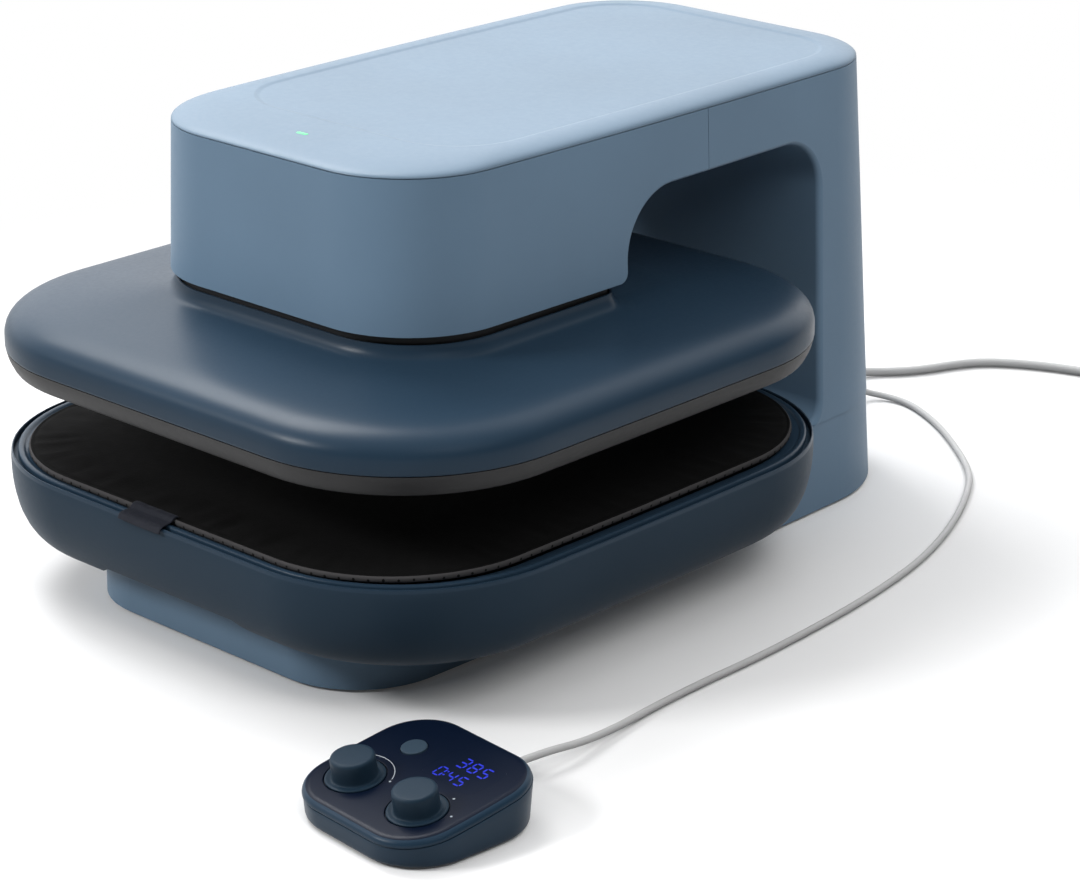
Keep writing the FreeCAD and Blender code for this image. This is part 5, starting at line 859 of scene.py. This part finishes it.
tag_form = bmesh.new()
rows = [[tag_form.verts.new(tag_point(j / TAG_ROWS, i / TAG_COLUMNS) * 0.001) for i in range(TAG_COLUMNS + 1)]
        for j in range(TAG_ROWS + 1)]
for low, high in zip(rows, rows[1:]):
    for k in range(1, len(low)):
        tag_form.faces.new((low[k - 1], low[k], high[k], high[k - 1]))
bmesh.ops.recalc_face_normals(tag_form, faces=tag_form.faces)
tag = made("cloth_tag", tag_form, TAG, sharp=80)
thick = tag.modifiers.new("thick", "SOLIDIFY")
thick.thickness = 0.0009
thick.offset = 0
round_off = tag.modifiers.new("round", "SUBSURF")
round_off.levels = round_off.render_levels = 1
bake(tag)
stand_in(tag, "body", "fabric", "mat_tag")

# Pod: lower shell, sloping cover with two wells, dials, button, display and marks
POD_SLOPE = math.radians(8.2)
POD_SEAM = 19.4
POD = Matrix.Translation((0.2503, -0.2476, 0)) @ Matrix.Rotation(math.radians(-5.4), 4, "Z")
POD_TOP = POD @ Matrix.Translation((0, 0, POD_SEAM / 1000)) @ Matrix.Rotation(POD_SLOPE, 4, "X")
POD_HALF_FLOOR, POD_LEAN = 56.4, 0.036
POD_FOOT_CORNER, POD_TAPER = 36, 0.26
POD_HALF_DEPTH = 51.1
POD_BOW = 600
POD_FOOT = ((3.2, 1.0), (1.7, 1.05), (0.9, 1.45), (0.3, 2.4), (0, 3.6))
POD_WALL_FOOT = 3.4
COVER_HALF, COVER_CORNER, COVER_TOP = 55.7, 31, 4.7
COVER_EDGE, COVER_INSET, COVER_POWER = 0.5, 5.6, 2.1
COVER_FOOT = ((2.4, 1.6), (2.4, 0.2), (0.5, 0.2), (0.18, 0.27), (0.02, COVER_EDGE))
DIALS = (("temperature", -27.5), ("time", 25.0))
DIAL_Y = -19.8
BUTTON_PLACE = (-24, 18.9)
DIAL_WELL = ((17.6, 3.1), (17.6, 4.35), (17.66, 4.55), (17.85, 4.68), (18.2, 4.72), (18.2, 7))
BUTTON_WELL = ((7.8, 2.2), (7.8, 4.5), (7.9, 4.65), (8.15, 4.72), (8.15, 7))
WINDOW_PLACE = (17, 20)
WINDOW_HALF_WIDTH, WINDOW_HALF_HEIGHT, WINDOW_CORNER = 21, 14, 4
WINDOW_BOW = 9000
WINDOW_FLOOR = 3.5


def pod_ring(inset, height):
    corner = POD_FOOT_CORNER - POD_TAPER * height - inset
    return outline(POD_HALF_FLOOR - POD_LEAN * height - inset, inset - POD_HALF_DEPTH, POD_HALF_DEPTH - inset,
                   corner, corner, POD_BOW, height)


def sloped_ring(inset, offset, share=1.0):
    """Ring on the pod's side that climbs with its sloping seam, or part of the way up to it."""
    ring = pod_ring(inset, POD_SEAM)
    for _ in range(3):
        heights = [POD_SEAM + point.y * math.tan(POD_SLOPE) + offset for point in ring]
        heights = [POD_WALL_FOOT + (height - POD_WALL_FOOT) * share for height in heights]
        ring = [pod_ring(inset, height)[k] for k, height in enumerate(heights)]
    return ring


def top_ring(inset, height):
    depth = POD_HALF_DEPTH / math.cos(POD_SLOPE) - inset
    corner = COVER_CORNER - inset
    return outline(COVER_HALF - inset, -depth, depth, corner, corner, POD_BOW, height)


def circle(x, y, radius, height, count=72):
    return [Vector((x + radius * math.cos(a), y + radius * math.sin(a), height))
            for a in (math.tau * k / count for k in range(count))]


def turned(profile, x, y, count=72):
    """Rings of a round piece from its (radius, height) profile."""
    return [circle(x, y, radius, height, count) for radius, height in profile]


def window_ring(grow, height):
    x, y = WINDOW_PLACE
    tall, corner = WINDOW_HALF_HEIGHT + grow, WINDOW_CORNER + grow
    ring = outline(WINDOW_HALF_WIDTH + grow, y - tall, y + tall, corner, corner, WINDOW_BOW, height,
                   turn=8, side=6, end=6)
    return [point + Vector((x, 0, 0)) for point in ring]


pod_rings = [pod_ring(*row) for row in POD_FOOT]
pod_rings += [sloped_ring(0, -0.55, share) for share in (0.25, 0.5, 0.75, 1.0)]
pod_rings += [sloped_ring(*row) for row in ((0.06, -0.36), (0.25, -0.24), (0.6, -0.2), (2.2, -0.2), (2.2, -2))]
pod_base = solid("pod_shell", pod_rings, POD_SIDE, sharp=50)
pod_base.data.transform(POD)
stand_in(pod_base, "body", "shell_navy", "pod_base")

top_rings = [top_ring(*row) for row in COVER_FOOT]
for angle in steps(0.08, math.pi / 2, 16):
    climb = math.sin(angle)
    top_rings.append(top_ring(COVER_INSET * fullness(climb, COVER_POWER),
                              COVER_EDGE + (COVER_TOP - COVER_EDGE) * climb))
top_rings += [top_ring(8, COVER_TOP), top_ring(12, COVER_TOP)]
# Faces that do not face up keep the lighter pod navy, and the faces that do carry the painted shade.
pod_cover = solid("pod_top", top_rings, PAINTED_DARK_POD_FACE, POD_SIDE)
second_finish(pod_cover, lambda face: face.normal.z < 0.9)
wells = [(DIAL_WELL, x, DIAL_Y, 96) for _, x in DIALS] + [(BUTTON_WELL, *BUTTON_PLACE, 64)]
for well in wells:
    carve(pod_cover, solid("well", turned(*well)))
carve(pod_cover, solid("recess", [window_ring(0.04, WINDOW_FLOOR - 0.1), window_ring(0.04, 7)]))
settle(pod_cover, 30)
pod_cover.data.transform(POD_TOP)
stand_in(pod_cover, "body", "shell_navy", "pod_cover")

window = solid("display_pane", [window_ring(0, WINDOW_FLOOR), window_ring(0, COVER_TOP)], WINDOW)
window.data.transform(POD_TOP)
stand_in(window, "body", "window", "display_window")

DIAL_PROFILE = ((16.2, 4.0), (16.7, 4.08), (16.9, 4.35), (16.88, 4.75), (16.6, 5.1), (16.1, 5.25), (15.2, 5.2),
                (14.2, 5.05), (13.5, 5.0), (13.0, 5.15), (12.75, 5.6), (12.65, 6.6), (12.62, 9), (12.6, 13),
                (12.55, 15.6), (12.4, 16.4), (12.05, 17.05), (11.5, 17.45), (10.8, 17.62), (10.0, 17.66), (6, 17.62),
                (3, 17.6))
BUTTON_PROFILE = ((7.2, 3.0), (7.5, 3.2), (7.5, 4.9), (7.42, 5.2), (7.2, 5.4), (6.8, 5.5), (6.0, 5.52), (4, 5.46),
                  (2, 5.42))
for name, x in DIALS:
    dial = solid(name + "_knob_skin", turned(DIAL_PROFILE, x, DIAL_Y), SLATE, sharp=60)
    dial.data.transform(POD_TOP)
    stand_in(dial, name + "_knob", "dial_blue", name + "_dial")
button = solid("button_cap", turned(BUTTON_PROFILE, *BUTTON_PLACE, 64), CAP, sharp=60)
button.data.transform(POD_TOP)
stand_in(button, "round_button", "dial_blue", "pod_button")

# Marks on the pod: the lit figures, a thin arc beside the left dial, and three dots
MARK_LEVEL = COVER_TOP + 0.03
SEGMENTS = {"0": "abcdef", "3": "abgcd", "4": "fgbc", "5": "afgcd", "8": "abcdefg"}
BAR_GAP = 0.35
UPPER_SIZE, LOWER_SIZE = (5.2, 8.6, 1.1), (4.8, 8.0, 1.0)
UPPER_ROW = ((8, "3"), (16.6, "8"), (25.2, "5"))
LOWER_ROW = ((3.5, "0"), (12.5, "4"), (20.6, "5"))
UPPER_FOOT, LOWER_FOOT = 21.5, 8.5
COLON_X, COLON_HEIGHTS, COLON_SIZE = 9.6, (10.6, 14.2), 1.1
ARC_RADII, ARC_ENDS = (21.3, 21.8), (28, 112)
DOT_PLACES = ((-7.6, -11.7), (33, -1), (45, -13))


def flat_piece(form, corners):
    form.faces.new([form.verts.new(Vector((x, y, MARK_LEVEL)) * 0.001) for x, y in corners])


def digit(form, text, x, y, width, height, stroke):
    """A seven-bar figure with its lower left corner at (x, y); each bar has pointed ends."""
    half, mid = stroke / 2, height / 2
    bars = {"a": (x, y + height, x + width, y + height), "d": (x, y, x + width, y),
            "g": (x, y + mid, x + width, y + mid), "f": (x, y + mid, x, y + height), "e": (x, y, x, y + mid),
            "b": (x + width, y + mid, x + width, y + height), "c": (x + width, y, x + width, y + mid)}
    for name in SEGMENTS[text]:
        x1, y1, x2, y2 = bars[name]
        start, end = (x1, x2) if y1 == y2 else (y1, y2)
        start, end = start + BAR_GAP, end - BAR_GAP
        hexagon = [(start, 0), (start + half, -half), (end - half, -half), (end, 0), (end - half, half),
                   (start + half, half)]
        if y1 == y2:
            flat_piece(form, [(run, y1 + aside) for run, aside in hexagon])
        else:
            flat_piece(form, [(x1 - aside, run) for run, aside in hexagon])


figures = bmesh.new()
for row, foot, size in ((UPPER_ROW, UPPER_FOOT, UPPER_SIZE), (LOWER_ROW, LOWER_FOOT, LOWER_SIZE)):
    for x, text in row:
        digit(figures, text, x, foot, *size)
for y in COLON_HEIGHTS:
    right, upper = COLON_X + COLON_SIZE, y + COLON_SIZE
    flat_piece(figures, [(COLON_X, y), (right, y), (right, upper), (COLON_X, upper)])
figures.normal_update()
lit = made("lit_figures", figures, FIGURES, sharp=60)
lit.data.transform(POD_TOP)
stand_in(lit, "body", "lens")

marks = bmesh.new()
arc_x = DIALS[0][1]
turns = steps(math.radians(ARC_ENDS[0]), math.radians(ARC_ENDS[1]), 40)
inside, outside = [[marks.verts.new(Vector((arc_x + r * math.cos(a), DIAL_Y + r * math.sin(a), MARK_LEVEL)) * 0.001)
                    for a in turns] for r in ARC_RADII]
for k in range(1, len(turns)):
    marks.faces.new((inside[k - 1], inside[k], outside[k], outside[k - 1]))
for x, y in DOT_PLACES:
    marks.faces.new([marks.verts.new(point * 0.001) for point in circle(x, y, 0.7, MARK_LEVEL, 16)])
bmesh.ops.recalc_face_normals(marks, faces=marks.faces)
printed = made("printed_marks", marks, PRINT, sharp=60)
printed.data.transform(POD_TOP)
stand_in(printed, "body", "dial_blue")


# Floor, background and lights, in metres
def area_light(name, place, target, size, power):
    data = bpy.data.lights.new(name, "AREA")
    data.shape = "RECTANGLE"
    data.size, data.size_y = size
    data.energy = power
    light = bpy.data.objects.new(name, data)
    light.location = place
    light.rotation_euler = (Vector(target) - Vector(place)).to_track_quat("-Z", "Y").to_euler()
    scene.collection.objects.link(light)
    return light


def seen_ray(tree):
    """1 for the rays that show the background: camera, glossy and transmission rays."""
    path = add(tree, "ShaderNodeLightPath")
    total = path.outputs["Is Camera Ray"]
    for name in ("Is Glossy Ray", "Is Transmission Ray"):
        total = add(tree, "ShaderNodeMath", total, path.outputs[name], operation="MAXIMUM").outputs["Value"]
    return total


def mix_shaders(tree, factor, first, second):
    return add(tree, "ShaderNodeMixShader", factor, first, second).outputs["Shader"]


FLOOR_HALF, FLOOR_LEVEL = 8.0, -0.0004
FLOOR_GREY = 0.28
FLOOR_LIFT = 0.03
SHADOW_CENTRE = (0.16, 0.10, 0)
SHADOW_FADE = (0.46, 0.98)


def floor_paper():
    """Plain paper that keeps the shadow near the object, and is white further out where it is seen."""
    paper = moulded("floor paper", (0.94, 0.94, 0.94), 0.9, grain=60.0, spread_by=0.01, strength=0.0, shine=0.0)
    tree = paper.node_tree
    white = add(tree, "ShaderNodeEmission", Strength=1.0).outputs["Emission"]
    dim = add(tree, "ShaderNodeBsdfDiffuse", Color=(FLOOR_GREY, FLOOR_GREY, FLOOR_GREY, 1)).outputs["BSDF"]
    lifted = mix_shaders(tree, FLOOR_LIFT, tree.nodes["Principled BSDF"].outputs["BSDF"], white)
    coordinates = add(tree, "ShaderNodeTexCoord")
    away = add(tree, "ShaderNodeVectorMath", coordinates.outputs["Object"], SHADOW_CENTRE, operation="DISTANCE")
    far = add(tree, "ShaderNodeMapRange", interpolation_type="SMOOTHSTEP", Value=away.outputs["Value"],
              From_Min=SHADOW_FADE[0], From_Max=SHADOW_FADE[1])
    shown = mix_shaders(tree, far.outputs["Result"], lifted, white)
    tree.links.new(mix_shaders(tree, seen_ray(tree), dim, shown), tree.nodes["Material Output"].inputs["Surface"])
    return paper


floor_mesh = bpy.data.meshes.new("floor")
floor_mesh.from_pydata([(x * FLOOR_HALF, y * FLOOR_HALF, FLOOR_LEVEL) for x, y in ((-1, -1), (1, -1), (1, 1), (-1, 1))],
                       [], [(0, 1, 2, 3)])
floor_mesh.materials.append(floor_paper())
floor = bpy.data.objects.new("floor", floor_mesh)
scene.collection.objects.link(floor)

SKY_WAY = Vector((-0.74, 0.60, 0.30)).normalized()
SKY_STOPS = ((0.30, (0.03, 0.03, 0.031)), (0.62, (0.08, 0.082, 0.085)), (0.97, (0.78, 0.79, 0.81)))
SKY_MIRRORED, SKY_GATHERED = 2.4, 0.9
SKY_START, SKY_END = 0.15, 0.08


def studio(world):
    """Bright low behind the object at the left, weaker for diffuse rays, and white where the background shows."""
    world.use_nodes = True
    tree = world.node_tree
    around = add(tree, "ShaderNodeTexCoord").outputs["Generated"]
    toward = add(tree, "ShaderNodeVectorMath", around, SKY_WAY, operation="DOT_PRODUCT")
    part = add(tree, "ShaderNodeMapRange", Value=toward.outputs["Value"], From_Min=-1)
    lobe = add(tree, "ShaderNodeValToRGB", Fac=part.outputs["Result"])
    lobe.color_ramp.interpolation = "EASE"
    lobe.color_ramp.elements.new(SKY_STOPS[1][0])
    for element, (position, colour) in zip(lobe.color_ramp.elements, SKY_STOPS):
        element.position = position
        element.color = (*colour, 1)
    rays = add(tree, "ShaderNodeLightPath")
    power = add(tree, "ShaderNodeMapRange", Value=rays.outputs["Is Diffuse Ray"], To_Min=SKY_MIRRORED,
                To_Max=SKY_GATHERED)
    background = tree.nodes["Background"]
    tree.links.new(lobe.outputs["Color"], background.inputs["Color"])
    tree.links.new(power.outputs["Result"], background.inputs["Strength"])
    white = add(tree, "ShaderNodeBackground", Color=(1, 1, 1, 1), Strength=1.0)
    height = add(tree, "ShaderNodeSeparateXYZ", Vector=around).outputs["Z"]
    low = add(tree, "ShaderNodeMapRange", interpolation_type="SMOOTHSTEP", Value=height, From_Min=SKY_START,
              From_Max=SKY_END)
    shown = add(tree, "ShaderNodeMath", low.outputs["Result"], seen_ray(tree), operation="MULTIPLY").outputs["Value"]
    mixed = mix_shaders(tree, shown, background.outputs["Background"], white.outputs["Background"])
    tree.links.new(mixed, tree.nodes["World Output"].inputs["Surface"])


scene.world = bpy.data.worlds.new("studio")
studio(scene.world)
scene.view_settings.view_transform = "Standard"
area_light("key", (-1.6, 0.40, 2.3), (0, 0.05, 0.1), (1.2, 1.2), 40)
area_light("overhead", (-0.3, -0.2, 2.7), (-0.3, -0.2, 0), (3.6, 3.6), 45).visible_glossy = False
area_light("front", (-1.35, -2.3, 1.85), (0, 0, 0.1), (0.8, 0.7), 52)
area_light("right", (2.0, -0.5, 2.2), (0, 0.1, 0.1), (1.4, 1.4), 33).visible_glossy = False
